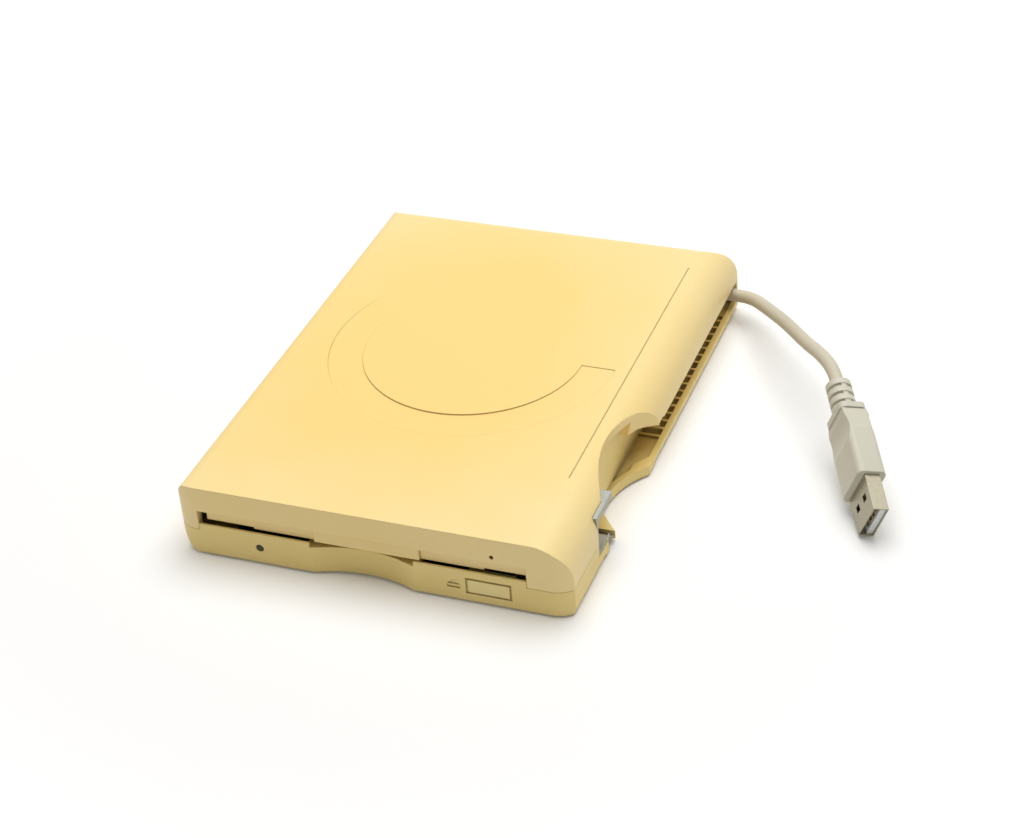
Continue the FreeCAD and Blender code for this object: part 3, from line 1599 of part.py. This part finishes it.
# ---------------------------------------------------------------- heads
def make_carriage():
    half = size.carriage_half_width
    wing = size.carriage_wing
    y = (carriage_front, carriage_rear)
    high = carriage_bottom + size.carriage_height
    piece = Piece("head_carriage")
    piece.block((centre - half, centre + half), y, (carriage_bottom, high))
    wing_half = size.carriage_wing_height / 2
    piece.block((centre - wing, centre + wing), y, (rod_z - wing_half, rod_z + wing_half))
    arm = size.arm_half_width
    arm_low = deck + size.lower_arm_lift
    arm_high = arm_low + size.lower_arm_thickness
    head_half = size.head_size / 2
    piece.block((centre - arm, centre + arm), (head_y - head_half, y[0] + PAST), (arm_low, arm_high))
    ear_low = arm + size.ear_gap
    ear_high = ear_low + size.ear_width
    for side in (-1, 1):
        ends = (centre + ear_low * side, centre + ear_high * side)
        x = ends if side > 0 else (ends[1], ends[0])
        piece.block(x, (y[1] - size.ear_length, y[1]), (high - PAST, high + size.ear_height))
    clear = size.rod_radius + size.rod_clearance
    for side in (-1, 1):
        x = centre + size.rod_offset * side
        piece.bore("y", (x, y[0] - PAST, rod_z), size.carriage_length + 2 * PAST, clear)
    piece.bore("x", (centre - ear_high - PAST, arm_hinge_y, arm_hinge_z), (ear_high + PAST) * 2, size.arm_pin_radius)
    head = Piece("lower_head")
    spot_x = (centre - head_half, centre + head_half)
    spot_y = (head_y - head_half, head_y + head_half)
    head.block(spot_x, spot_y, (arm_high, arm_high + size.lower_head_height))
    pin = Piece("arm_pin")
    pin.rod("x", (centre - ear_high, arm_hinge_y, arm_hinge_z), ear_high * 2, size.arm_pin_radius)
    low = deck + size.arm_height
    upper = Piece("upper_arm")
    upper.block((centre - arm, centre + arm), (head_y - head_half, arm_hinge_y), (low, low + size.arm_thickness))
    barrel = size.arm_pin_radius + size.arm_thickness
    upper.rod("x", (centre - arm, arm_hinge_y, arm_hinge_z), arm * 2, barrel)
    upper.bore("x", (centre - arm - PAST, arm_hinge_y, arm_hinge_z), (arm + PAST) * 2, size.arm_pin_radius + size.rod_clearance)
    top_head = Piece("upper_head")
    top_head.block(spot_x, spot_y, (low - size.upper_head_height, low))


def make_guides():
    rods = []
    clamps = []
    rod_front = front + size.rod_front
    rod_rear = rod_front + size.rod_length
    half = size.clamp_width / 2
    for side in (-1, 1):
        x = centre + size.rod_offset * side
        rods.append(loose_rod("y", (x, rod_front, rod_z), size.rod_length, size.rod_radius))
        for low in (rod_front, rod_rear - size.clamp_length):
            block = loose_box((x - half, x + half), (low, low + size.clamp_length), (deck, deck + size.clamp_height))
            hole = loose_rod("y", (x, low - PAST, rod_z), size.clamp_length + 2 * PAST, size.rod_radius)
            clamps.append(cut_from(block, hole))
    group("guide_rods", rods)
    group("rod_clamps", clamps)


def make_linear_motor():
    yokes = []
    magnets = []
    coils = []
    bar = size.yoke_bar
    yoke_front = front + size.yoke_front
    yoke_rear = yoke_front + size.yoke_length
    coil_low = deck + size.coil_lift
    coil_mid = coil_low + size.coil_box_height / 2
    coil_front = carriage_front + (size.carriage_length - size.coil_length) / 2
    for side in (-1, 1):
        middle = centre + (size.carriage_wing + size.coil_width / 2) * side
        half = size.coil_width / 2
        box = loose_box(
            (middle - half, middle + half), (coil_front, coil_front + size.coil_length), (coil_low, coil_low + size.coil_box_height)
        )
        wall = size.coil_wall
        inside = loose_box(
            (middle - half + wall, middle + half - wall),
            (coil_front - PAST, coil_front + size.coil_length + PAST),
            (coil_low + wall, coil_low + size.coil_box_height - wall),
        )
        coils.append(cut_from(box, inside))
        half = half - size.yoke_inset
        x = (middle - half, middle + half)
        core = (middle - size.yoke_core_width / 2, middle + size.yoke_core_width / 2)
        whole = (yoke_front, yoke_rear)
        high = deck + size.yoke_height
        parts = [
            loose_box(x, whole, (deck, deck + bar)),
            loose_box(x, whole, (high - bar, high)),
            loose_box(core, whole, (coil_mid - bar / 2, coil_mid + bar / 2)),
            loose_box(x, (yoke_front, yoke_front + bar), (deck, high)),
            loose_box(x, (yoke_rear - bar, yoke_rear), (deck, high)),
        ]
        yokes.append(joined(parts))
        between = (yoke_front + bar, yoke_rear - bar)
        magnets.append(loose_box(x, between, (deck + bar, deck + bar + size.field_magnet)))
        magnets.append(loose_box(x, between, (high - bar - size.field_magnet, high - bar)))
    group("drive_yokes", yokes)
    group("drive_magnets", magnets)
    group("drive_coils", coils)


# ---------------------------------------------------------------- eject drive
def gear_face(teeth, tooth_angle):
    """Outline of a short-toothed involute gear with one tooth at the given angle."""
    module = number(size.gear_module)
    pitch = teeth * module / 2
    base_circle = pitch * math.cos(math.radians(20))
    tip = pitch + module * number(size.gear_addendum)
    root = pitch - module * number(size.gear_dedendum)
    turned = math.tan(math.radians(20)) - math.radians(20)
    half = math.pi / (2 * teeth) - number(size.gear_backlash) / (2 * pitch) + turned
    flank = [(root, half)]
    start = max(base_circle, root)
    for index in range(4):
        radius = start + (tip - start) * index / 3
        along = math.acos(min(1.0, base_circle / radius))
        flank.append((radius, half - (math.tan(along) - along)))
    points = []
    for tooth in range(teeth):
        middle = tooth_angle + 2 * math.pi * tooth / teeth
        for radius, offset in flank:
            points.append(Vector(radius * math.cos(middle - offset), radius * math.sin(middle - offset), 0))
        for radius, offset in reversed(flank):
            points.append(Vector(radius * math.cos(middle + offset), radius * math.sin(middle + offset), 0))
    points.append(points[0])
    return Part.Face(Part.makePolygon(points))


def upright(face_or_radius, x, y, low, height):
    """A prism or a cylinder that stands on a level."""
    spot = Vector(number(x), number(y), number(low))
    if isinstance(face_or_radius, Length):
        return Part.makeCylinder(number(face_or_radius), number(height), spot)
    solid = face_or_radius.extrude(Vector(0, 0, number(height)))
    solid.translate(spot)
    return solid


def make_eject_drive():
    gear_x = chassis_right - size.rack_from_right - size.gear_module * size.rack_gear_teeth / 2
    gear_y = front + size.gear_from_front
    gear_low = deck + size.gear_lift
    wheel_low = deck + size.wheel_lift
    thick = size.gear_thickness
    turn = math.radians(number(size.motor_direction))
    small = gear_face(int(number(size.rack_gear_teeth)), 0.0)
    large = gear_face(int(number(size.wheel_teeth)), turn)
    gear = upright(small, gear_x, gear_y, gear_low, thick)
    gear = gear.fuse(upright(size.gear_hub_radius, gear_x, gear_y, gear_low, wheel_low - gear_low + thick))
    gear = gear.fuse(upright(large, gear_x, gear_y, wheel_low, thick))
    bore = upright(size.gear_post_radius + size.gear_clearance, gear_x, gear_y, deck, deck + PAST)
    bore = bore.fuse(upright(size.gear_post_radius + size.gear_clearance, gear_x, gear_y, wheel_low - PAST, 3 * PAST))
    shaped("eject_gear", gear.cut(bore).removeSplitter())
    post = Piece("gear_post")
    post.rod("z", (gear_x, gear_y, deck), size.gear_post_length, size.gear_post_radius)
    spread = size.gear_module * (size.wheel_teeth + size.pinion_teeth) / 2
    motor_x = gear_x + spread * math.cos(turn)
    motor_y = gear_y + spread * math.sin(turn)
    motor = Piece("eject_motor")
    motor.rod("z", (motor_x, motor_y, deck), size.motor_height, size.motor_radius)
    clear = size.motor_shaft_radius + size.gear_clearance
    motor_top = deck + size.motor_height
    depth = size.motor_shaft_depth
    motor.bore("z", (motor_x, motor_y, motor_top - depth - size.seam_gap), depth + PAST, clear)
    teeth = int(number(size.pinion_teeth))
    space = turn + math.pi + math.pi / teeth
    pinion = upright(gear_face(teeth, space), motor_x, motor_y, wheel_low, thick)
    shaft = upright(size.motor_shaft_radius, motor_x, motor_y, motor_top - depth, depth + wheel_low - motor_top + thick)
    shaped("motor_pinion", pinion.fuse(shaft).removeSplitter())


def finish():
    """Check every object and write one file for each sub-part."""
    doc.recompute()
    broken = [item.Name for item in doc.Objects if "Invalid" in item.State or "Error" in item.State]
    if broken:
        raise RuntimeError("not computed: " + ", ".join(broken))
    os.makedirs("parts", exist_ok=True)
    for label, item in nodes.items():
        shape = item.Shape
        if shape.isNull() or not shape.isValid() or not shape.Solids:
            raise RuntimeError("no valid solid: " + label)
        shape.exportStep(os.path.join("parts", label + ".step"))
        print("%-20s solids %2d  volume %9.2f" % (label, len(shape.Solids), shape.Volume))


make_top_shell()
make_bottom_shell()
make_flap()
make_controls()
make_dock()
make_plug()
make_cord()
make_fixings()
make_boards()
make_chassis()
make_cover()
make_carrier()
make_slide_plate()
make_spindle()
make_carriage()
make_guides()
make_linear_motor()
make_eject_drive()
finish()
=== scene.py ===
import json

import bpy
from mathutils import Matrix, Vector


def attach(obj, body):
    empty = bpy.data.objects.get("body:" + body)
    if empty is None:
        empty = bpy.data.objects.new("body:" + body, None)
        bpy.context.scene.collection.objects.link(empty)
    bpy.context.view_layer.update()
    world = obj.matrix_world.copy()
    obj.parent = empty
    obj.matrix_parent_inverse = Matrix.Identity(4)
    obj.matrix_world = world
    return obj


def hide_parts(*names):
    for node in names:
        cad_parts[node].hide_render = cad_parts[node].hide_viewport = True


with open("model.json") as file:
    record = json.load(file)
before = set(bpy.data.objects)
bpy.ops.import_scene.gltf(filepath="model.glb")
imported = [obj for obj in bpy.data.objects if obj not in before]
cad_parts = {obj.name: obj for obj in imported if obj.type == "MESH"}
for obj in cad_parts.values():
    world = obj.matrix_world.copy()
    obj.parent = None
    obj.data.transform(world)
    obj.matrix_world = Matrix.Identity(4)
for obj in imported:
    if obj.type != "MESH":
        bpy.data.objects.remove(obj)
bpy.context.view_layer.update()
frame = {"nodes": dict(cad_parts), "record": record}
nodes = frame["nodes"]
MM = 0.001
WHITE = (1, 1, 1)
BLACK = (0, 0, 0)


# ---------------------------------------------------------------- node trees
EDGE_SAMPLES = 6

# A colour Mix node has several sockets of the same name, so these go by number.
MIX_BEFORE = 6
MIX_AFTER = 7
MIX_RESULT = 2


class Tree:
    """The nodes of the world or of a material."""

    def __init__(self, tree):
        self.tree = tree

    def new(self, kind, inputs=None, **settings):
        """A node of one kind, with its settings and then the values of its inputs."""
        node = self.tree.nodes.new(kind)
        for name, value in settings.items():
            setattr(node, name, value)
        for name, value in (inputs or {}).items():
            node.inputs[name].default_value = value
        return node

    def link(self, out, into):
        self.tree.links.new(out, into)

    def combine(self, operation, *values):
        """A Math node that takes sockets and plain numbers."""
        node = self.new("ShaderNodeMath", operation=operation)
        for into, value in zip(node.inputs, values):
            if isinstance(value, float):
                into.default_value = value
            else:
                self.link(value, into)
        return node.outputs[0]


class Shade(Tree):
    """A material built from nodes, with object coordinates that don't depend on the view."""

    def __init__(self, name):
        self.material = bpy.data.materials.new(name)
        self.material.use_nodes = True
        super().__init__(self.material.node_tree)
        self.shader = self.tree.nodes["Principled BSDF"]
        self.coords = self.new("ShaderNodeTexCoord").outputs["Object"]

    def set(self, name, value):
        self.shader.inputs[name].default_value = value

    def noise(self, scale, detail=3.0, roughness=0.5):
        inputs = {"Scale": scale, "Detail": detail, "Roughness": roughness}
        node = self.new("ShaderNodeTexNoise", inputs)
        self.link(self.coords, node.inputs["Vector"])
        return node.outputs["Fac"]

    def ramp(self, value, low, high, low_colour, high_colour):
        """One colour below low, another above high, and a blend between them."""
        node = self.new("ShaderNodeValToRGB")
        first, last = node.color_ramp.elements
        first.position = low
        last.position = high
        first.color = (*low_colour, 1)
        last.color = (*high_colour, 1)
        self.link(value, node.inputs["Fac"])
        return node.outputs["Color"]

    def base(self, value, low, high, dark, light):
        """The base colour goes from dark to light with a value."""
        self.link(self.ramp(value, low, high, dark, light), self.shader.inputs["Base Color"])

    def tint(self, share, colour):
        """Turns the base colour into another one, where the share goes from black to white."""
        before = self.shader.inputs["Base Color"].links[0].from_socket
        mix = self.new("ShaderNodeMix", {MIX_AFTER: (*colour, 1)}, data_type="RGBA")
        self.link(share, mix.inputs["Factor"])
        self.link(before, mix.inputs[MIX_BEFORE])
        self.link(mix.outputs[MIX_RESULT], self.shader.inputs["Base Color"])

    def surface(self, height, strength, depth, edge):
        """A fine relief, and softly rounded edges as a mould or a die leaves them."""
        rounded = self.new("ShaderNodeBevel", {"Radius": edge}, samples=EDGE_SAMPLES)
        bump = self.new("ShaderNodeBump", {"Strength": strength, "Distance": depth})
        self.link(height, bump.inputs["Height"])
        self.link(rounded.outputs["Normal"], bump.inputs["Normal"])
        self.link(bump.outputs["Normal"], self.shader.inputs["Normal"])

    def roughness(self, value, low, high):
        """The roughness goes from low to high with a value."""
        span = self.new("ShaderNodeMapRange", {"To Min": low, "To Max": high})
        self.link(value, span.inputs["Value"])
        self.link(span.outputs["Result"], self.shader.inputs["Roughness"])


# ---------------------------------------------------------------- camera and light
# The place and directions were solved on the edges of the case in the photograph.
CAMERA_PLACE = (0.23483, -0.52532, 0.39939)
CAMERA_RIGHT = Vector((0.93560, 0.34628, -0.06878))
CAMERA_UP = Vector((-0.14550, 0.55568, 0.81856))
CAMERA_LENS = 82.32
SENSOR_WIDTH = 36.0
CAMERA_SIGHT = 10

KEY_PLACE = (0.04, 0.2, 1.0)
KEY_TARGET = (0, 0, 0)
KEY_SIZE = 1.1
KEY_POWER = 10.5
FILL_COLOUR = (1, 0.98, 0.92)
FILL_STRENGTH = 0.25


def make_camera():
    """The photograph's viewpoint."""
    camera = bpy.data.objects.new("camera", bpy.data.cameras.new("camera"))
    camera.data.lens = CAMERA_LENS
    camera.data.sensor_width = SENSOR_WIDTH
    camera.data.sensor_fit = "HORIZONTAL"
    camera.data.clip_end = CAMERA_SIGHT
    back = CAMERA_RIGHT.cross(CAMERA_UP)
    turn = Matrix((CAMERA_RIGHT, CAMERA_UP, back)).transposed()
    camera.matrix_world = Matrix.Translation(CAMERA_PLACE) @ turn.to_4x4()
    bpy.context.scene.collection.objects.link(camera)
    bpy.context.scene.camera = camera


def make_key_light():
    """One wide round lamp overhead."""
    lamp = bpy.data.lights.new("key", "AREA")
    lamp.shape = "DISK"
    lamp.size = KEY_SIZE
    lamp.energy = KEY_POWER
    holder = bpy.data.objects.new("key", lamp)
    direction = Vector(KEY_TARGET) - Vector(KEY_PLACE)
    holder.location = KEY_PLACE
    holder.rotation_euler = direction.to_track_quat("-Z", "Y").to_euler()
    bpy.context.scene.collection.objects.link(holder)


def make_world():
    """White to the camera and in reflections, and a soft warm fill on the object."""
    world = bpy.data.worlds.new("studio")
    world.use_nodes = True
    world.node_tree.nodes.clear()
    tree = Tree(world.node_tree)
    path = tree.new("ShaderNodeLightPath").outputs
    reflected = tree.combine("MAXIMUM", path["Is Glossy Ray"], path["Is Transmission Ray"])
    seen = tree.combine("MAXIMUM", path["Is Camera Ray"], reflected)
    fill = tree.new("ShaderNodeBackground", {"Color": (*FILL_COLOUR, 1), "Strength": FILL_STRENGTH})
    white = tree.new("ShaderNodeBackground", {"Color": (*WHITE, 1)})
    mix = tree.new("ShaderNodeMixShader")
    out = tree.new("ShaderNodeOutputWorld")
    for link in zip((seen, fill.outputs[0], white.outputs[0]), mix.inputs):
        tree.link(*link)
    tree.link(mix.outputs[0], out.inputs["Surface"])
    bpy.context.scene.world = world


# ---------------------------------------------------------------- floor
FLOOR_HALF = 3.0
FLOOR_COLOUR = (0.93, 0.93, 0.93)
FLOOR_ROUGHNESS = 0.7

# Metres from the middle of the floor, and the strength of the glow there.
GLOW = {"From Min": 0.13, "To Min": 0.06, "From Max": 0.45, "To Max": 0.9}


def floor_shade():
    """Near white, with a glow that grows away from the object and lights nothing."""
    shade = Shade("floor_white")
    shade.set("Base Color", (*FLOOR_COLOUR, 1))
    shade.set("Roughness", FLOOR_ROUGHNESS)
    shade.set("Emission Color", (*WHITE, 1))
    reach = shade.new("ShaderNodeVectorMath", operation="LENGTH")
    shade.link(shade.coords, reach.inputs[0])
    fade = shade.new("ShaderNodeMapRange", GLOW, interpolation_type="SMOOTHSTEP")
    shade.link(reach.outputs["Value"], fade.inputs["Value"])
    path = shade.new("ShaderNodeLightPath").outputs
    glow = shade.combine("MULTIPLY", path["Is Camera Ray"], fade.outputs["Result"])
    shade.link(glow, shade.shader.inputs["Emission Strength"])
    return shade


def make_floor():
    """A pale floor that fades into the white background."""
    mesh = bpy.data.meshes.new("floor")
    low, high = -FLOOR_HALF, FLOOR_HALF
    corners = [(low, low, 0), (high, low, 0), (high, high, 0), (low, high, 0)]
    mesh.from_pydata(corners, [], [(0, 1, 2, 3)])
    floor = bpy.data.objects.new("floor", mesh)
    bpy.context.scene.collection.objects.link(floor)
    mesh.materials.append(floor_shade().material)


# ---------------------------------------------------------------- plastic and metal
DRIFT_LOW = 0.3
DRIFT_HIGH = 0.7

GRAIN_SCALE = 2600.0
GRAIN_STRENGTH = 0.5
BLOTCH_SCALE = 180.0
PLASTIC_SMOOTHER = 0.04
PLASTIC_ROUGHER = 0.05

MARK_SCALE = 900.0
MARK_STRENGTH = 0.2
MARK_DEPTH = 0.00001
METAL_SMOOTHER = 0.06
METAL_ROUGHER = 0.08

# The sRGB curve: a straight piece up to the knee, and a power above it.
SRGB_KNEE = 0.04045
SRGB_SLOPE = 12.92
SRGB_OFFSET = 0.055
SRGB_POWER = 2.4


def srgb(red, green, blue):
    """A colour written as the screen shows it, from 0 to 255."""
    linear = []
    for part in (red, green, blue):
        share = part / 255
        if share <= SRGB_KNEE:
            linear.append(share / SRGB_SLOPE)
        else:
            linear.append(((share + SRGB_OFFSET) / (1 + SRGB_OFFSET)) ** SRGB_POWER)
    return tuple(linear)


def plastic(name, dark, light, rough=0.42, grain=0.00002, edge=0.0004, patch=35.0):
    """Moulded plastic: a slow drift of colour, a fine grain, soft edges and an uneven gloss."""
    shade = Shade(name)
    shade.base(shade.noise(patch, detail=2.0), DRIFT_LOW, DRIFT_HIGH, dark, light)
    fine = shade.noise(GRAIN_SCALE, detail=2.0, roughness=0.6)
    shade.surface(fine, GRAIN_STRENGTH, grain, edge)
    shade.roughness(shade.noise(BLOTCH_SCALE), rough - PLASTIC_SMOOTHER, rough + PLASTIC_ROUGHER)
    return shade


def metal(name, dark, light, rough=0.3, packing=(1, 1, 1), edge=0.0001):
    """Metal with fine marks, packed so many times closer along x, y and z."""
    shade = Shade(name)
    mapping = shade.new("ShaderNodeMapping", {"Scale": packing})
    shade.link(shade.coords, mapping.inputs["Vector"])
    shade.coords = mapping.outputs["Vector"]
    marks = shade.noise(MARK_SCALE, detail=4.0, roughness=0.6)
    shade.base(marks, DRIFT_LOW, DRIFT_HIGH, dark, light)
    shade.set("Metallic", 1.0)
    shade.surface(marks, MARK_STRENGTH, MARK_DEPTH, edge)
    shade.roughness(marks, rough - METAL_SMOOTHER, rough + METAL_ROUGHER)
    return shade


# ---------------------------------------------------------------- the aged casing and its painted shade
# Painted shade: recesses are darkened towards a dark brown where shade falls. Openness is 0 deep in a
# recess and 1 on a free face.
RECESS_SHADE_COLOUR = srgb(88, 58, 18)
RECESS_SHADE_SAMPLES = 8
FULL_SHADE_OPENNESS = 0.1
TOP_RECESS_SHADE_REACH = 0.012
TOP_UNSHADED_OPENNESS = 0.72
BOTTOM_RECESS_SHADE_REACH = 0.014
BOTTOM_UNSHADED_OPENNESS = 0.8

HEART_COLOUR = srgb(249, 215, 130)
HEART_CENTRE = (-0.012, 0.0, 0.0229)
HEART_REACH = (0.085, 0.11, 0.1)
HEART_PATCH = 28.0
HEART_UNEVEN = 0.5
HEART_LOW = 0.3
HEART_HIGH = 0.85


def paint_recess_shade(shade, reach, unshaded_openness):
    """Painted shade: the base colour turns dark brown in narrow recesses, where shade falls."""
    hollow = shade.new(
        "ShaderNodeAmbientOcclusion", {"Distance": reach}, samples=RECESS_SHADE_SAMPLES, only_local=True
    )
    share = shade.ramp(hollow.outputs["AO"], FULL_SHADE_OPENNESS, unshaded_openness, WHITE, BLACK)
    shade.tint(share, RECESS_SHADE_COLOUR)


def yellow_heart(shade):
    """Age has yellowed the middle of the top more than its edges, in a soft uneven patch."""
    location = [-place / size for place, size in zip(HEART_CENTRE, HEART_REACH)]
    scale = [1 / size for size in HEART_REACH]
    mapping = shade.new("ShaderNodeMapping", {"Location": location, "Scale": scale})
    shade.link(shade.coords, mapping.inputs["Vector"])
    ball = shade.new("ShaderNodeTexGradient", gradient_type="SPHERICAL")
    shade.link(mapping.outputs["Vector"], ball.inputs["Vector"])
    patches = shade.noise(HEART_PATCH, detail=2.0)
    uneven = shade.combine("MULTIPLY_ADD", patches, HEART_UNEVEN, ball.outputs["Fac"])
    shade.tint(shade.ramp(uneven, HEART_LOW, HEART_HIGH, BLACK, WHITE), HEART_COLOUR)


def casing_top():
    """Cream, yellower in the middle, with painted shade in its recesses."""
    shade = plastic("case_top", srgb(248, 222, 154), srgb(249, 225, 163))
    yellow_heart(shade)
    paint_recess_shade(shade, TOP_RECESS_SHADE_REACH, TOP_UNSHADED_OPENNESS)
    return shade


def casing_bottom():
    """A deeper yellow than the top, partly as painted shade for its mostly shaded faces, and with painted
    shade in its recesses.
    """
    shade = plastic("case_bottom", srgb(238, 212, 133), srgb(243, 218, 143))
    paint_recess_shade(shade, BOTTOM_RECESS_SHADE_REACH, BOTTOM_UNSHADED_OPENNESS)
    return shade


# ---------------------------------------------------------------- a shade for each piece
SHADES = {
    "case_top": casing_top(),
    "case_bottom": casing_bottom(),
    # The button keeps its own cream, with less blue as painted shade for its shaded front.
    "button": plastic("button", srgb(245, 224, 148), srgb(248, 228, 158), edge=0.0005),
    "lamp": plastic("lamp", srgb(56, 48, 34), srgb(66, 57, 40), rough=0.25),
    "dark_plastic": plastic("dark_plastic", (0.01, 0.01, 0.01), (0.02, 0.02, 0.02)),
    "white_plastic": plastic("white_plastic", srgb(214, 216, 212), srgb(226, 228, 224)),
    "cord_grey": plastic("cord_grey", srgb(206, 202, 184), srgb(214, 210, 192), rough=0.5, edge=0.0006),
    "cord_skin": plastic("cord_skin", srgb(201, 192, 170), srgb(209, 200, 179), rough=0.55, grain=0.00003),
    "rubber": plastic("rubber", (0.012, 0.012, 0.012), (0.02, 0.02, 0.02), rough=0.8),
    "steel": metal("steel", (0.5, 0.5, 0.5), (0.62, 0.62, 0.62), packing=(1, 1, 6)),
    "sheet_steel": metal("sheet_steel", (0.56, 0.56, 0.57), (0.7, 0.7, 0.71), packing=(6, 1, 1)),
    "contact_gold": metal("contact_gold", (0.75, 0.5, 0.2), (0.85, 0.6, 0.28), rough=0.25),
    "copper": metal("copper", (0.5, 0.2, 0.08), (0.62, 0.28, 0.12), packing=(1, 1, 20)),
    "magnet": plastic("magnet", (0.02, 0.02, 0.022), (0.035, 0.035, 0.04)),
    "carriage_alloy": metal("carriage_alloy", (0.5, 0.5, 0.51), (0.6, 0.6, 0.61), rough=0.45),
    "head_ceramic": plastic("head_ceramic", (0.03, 0.025, 0.02), (0.04, 0.035, 0.03), rough=0.2),
    "board": plastic("board", (0.004, 0.045, 0.015), (0.008, 0.07, 0.022), rough=0.3, patch=300.0),
    "ribbon": plastic("ribbon", srgb(198, 198, 192), srgb(210, 210, 204)),
}

# Painted reflection: the plug shell's and dock's steel are darker than sheet_steel, standing in for the
# darker surroundings they reflect.
PLUG_DARK, PLUG_LIGHT = srgb(156, 150, 130), srgb(174, 168, 148)
DOCK_DARK, DOCK_LIGHT = srgb(146, 148, 138), srgb(166, 168, 158)
OWN_SHADES = {
    # Painted shade: the cord connector takes the near-black plastic so it reads as the shade behind the
    # comb windows.
    "cord_connector": SHADES["dark_plastic"],
    "plug_shell": metal("plug_steel", PLUG_DARK, PLUG_LIGHT, rough=0.34, packing=(6, 1, 1)),
    "plug_dock": metal("dock_steel", DOCK_DARK, DOCK_LIGHT, rough=0.38, packing=(1, 6, 1)),
}


def dress_nodes():
    """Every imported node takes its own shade, or else the shade of its slot."""
    for part in frame["record"]["subparts"]:
        node = nodes[part["node"]]
        material = OWN_SHADES.get(part["node"], SHADES[part["material_slot"]]).material
        if not node.material_slots:
            node.data.materials.append(material)
        for slot in node.material_slots:
            slot.material = material


# ---------------------------------------------------------------- cord
# Millimetres, the same points as the cord's route in the CAD.
CORD_RADIUS = 2.0
CORD_ROUTE = [
    (50.85, 76.0, 7.4),
    (57.8, 76.0, 7.4),
    (65.2, 72.6, 9.15),
    (73.35, 60.45, 13.95),
    (82.05, 49.35, 17.1),
    (91.35, 37.05, 19.25),
    (97.15, 30.1, 21.05),
    (103.18, 21.86, 21.97),
    (105.75, 16.56, 20.19),
]


def make_cord():
    """A smooth line along the route, as thick as the cord."""
    curve = bpy.data.curves.new("cord_line", "CURVE")
    curve.dimensions = "3D"
    spline = curve.splines.new("NURBS")
    spline.points.add(len(CORD_ROUTE) - 1)
    for point, place in zip(spline.points, CORD_ROUTE):
        point.co = (*[value * MM for value in place], 1)
    spline.order_u = 3
    spline.use_endpoint_u = True
    curve.resolution_u = 24
    curve.bevel_depth = CORD_RADIUS * MM
    curve.bevel_resolution = 8
    curve.use_fill_caps = True
    cord = bpy.data.objects.new("cord_line", curve)
    curve.materials.append(SHADES["cord_skin"].material)
    bpy.context.scene.collection.objects.link(cord)
    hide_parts("usb_cord")
    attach(cord, "case")


make_camera()
make_world()
make_floor()
make_key_light()
dress_nodes()
make_cord()
bpy.context.scene.view_settings.view_transform = "Standard"
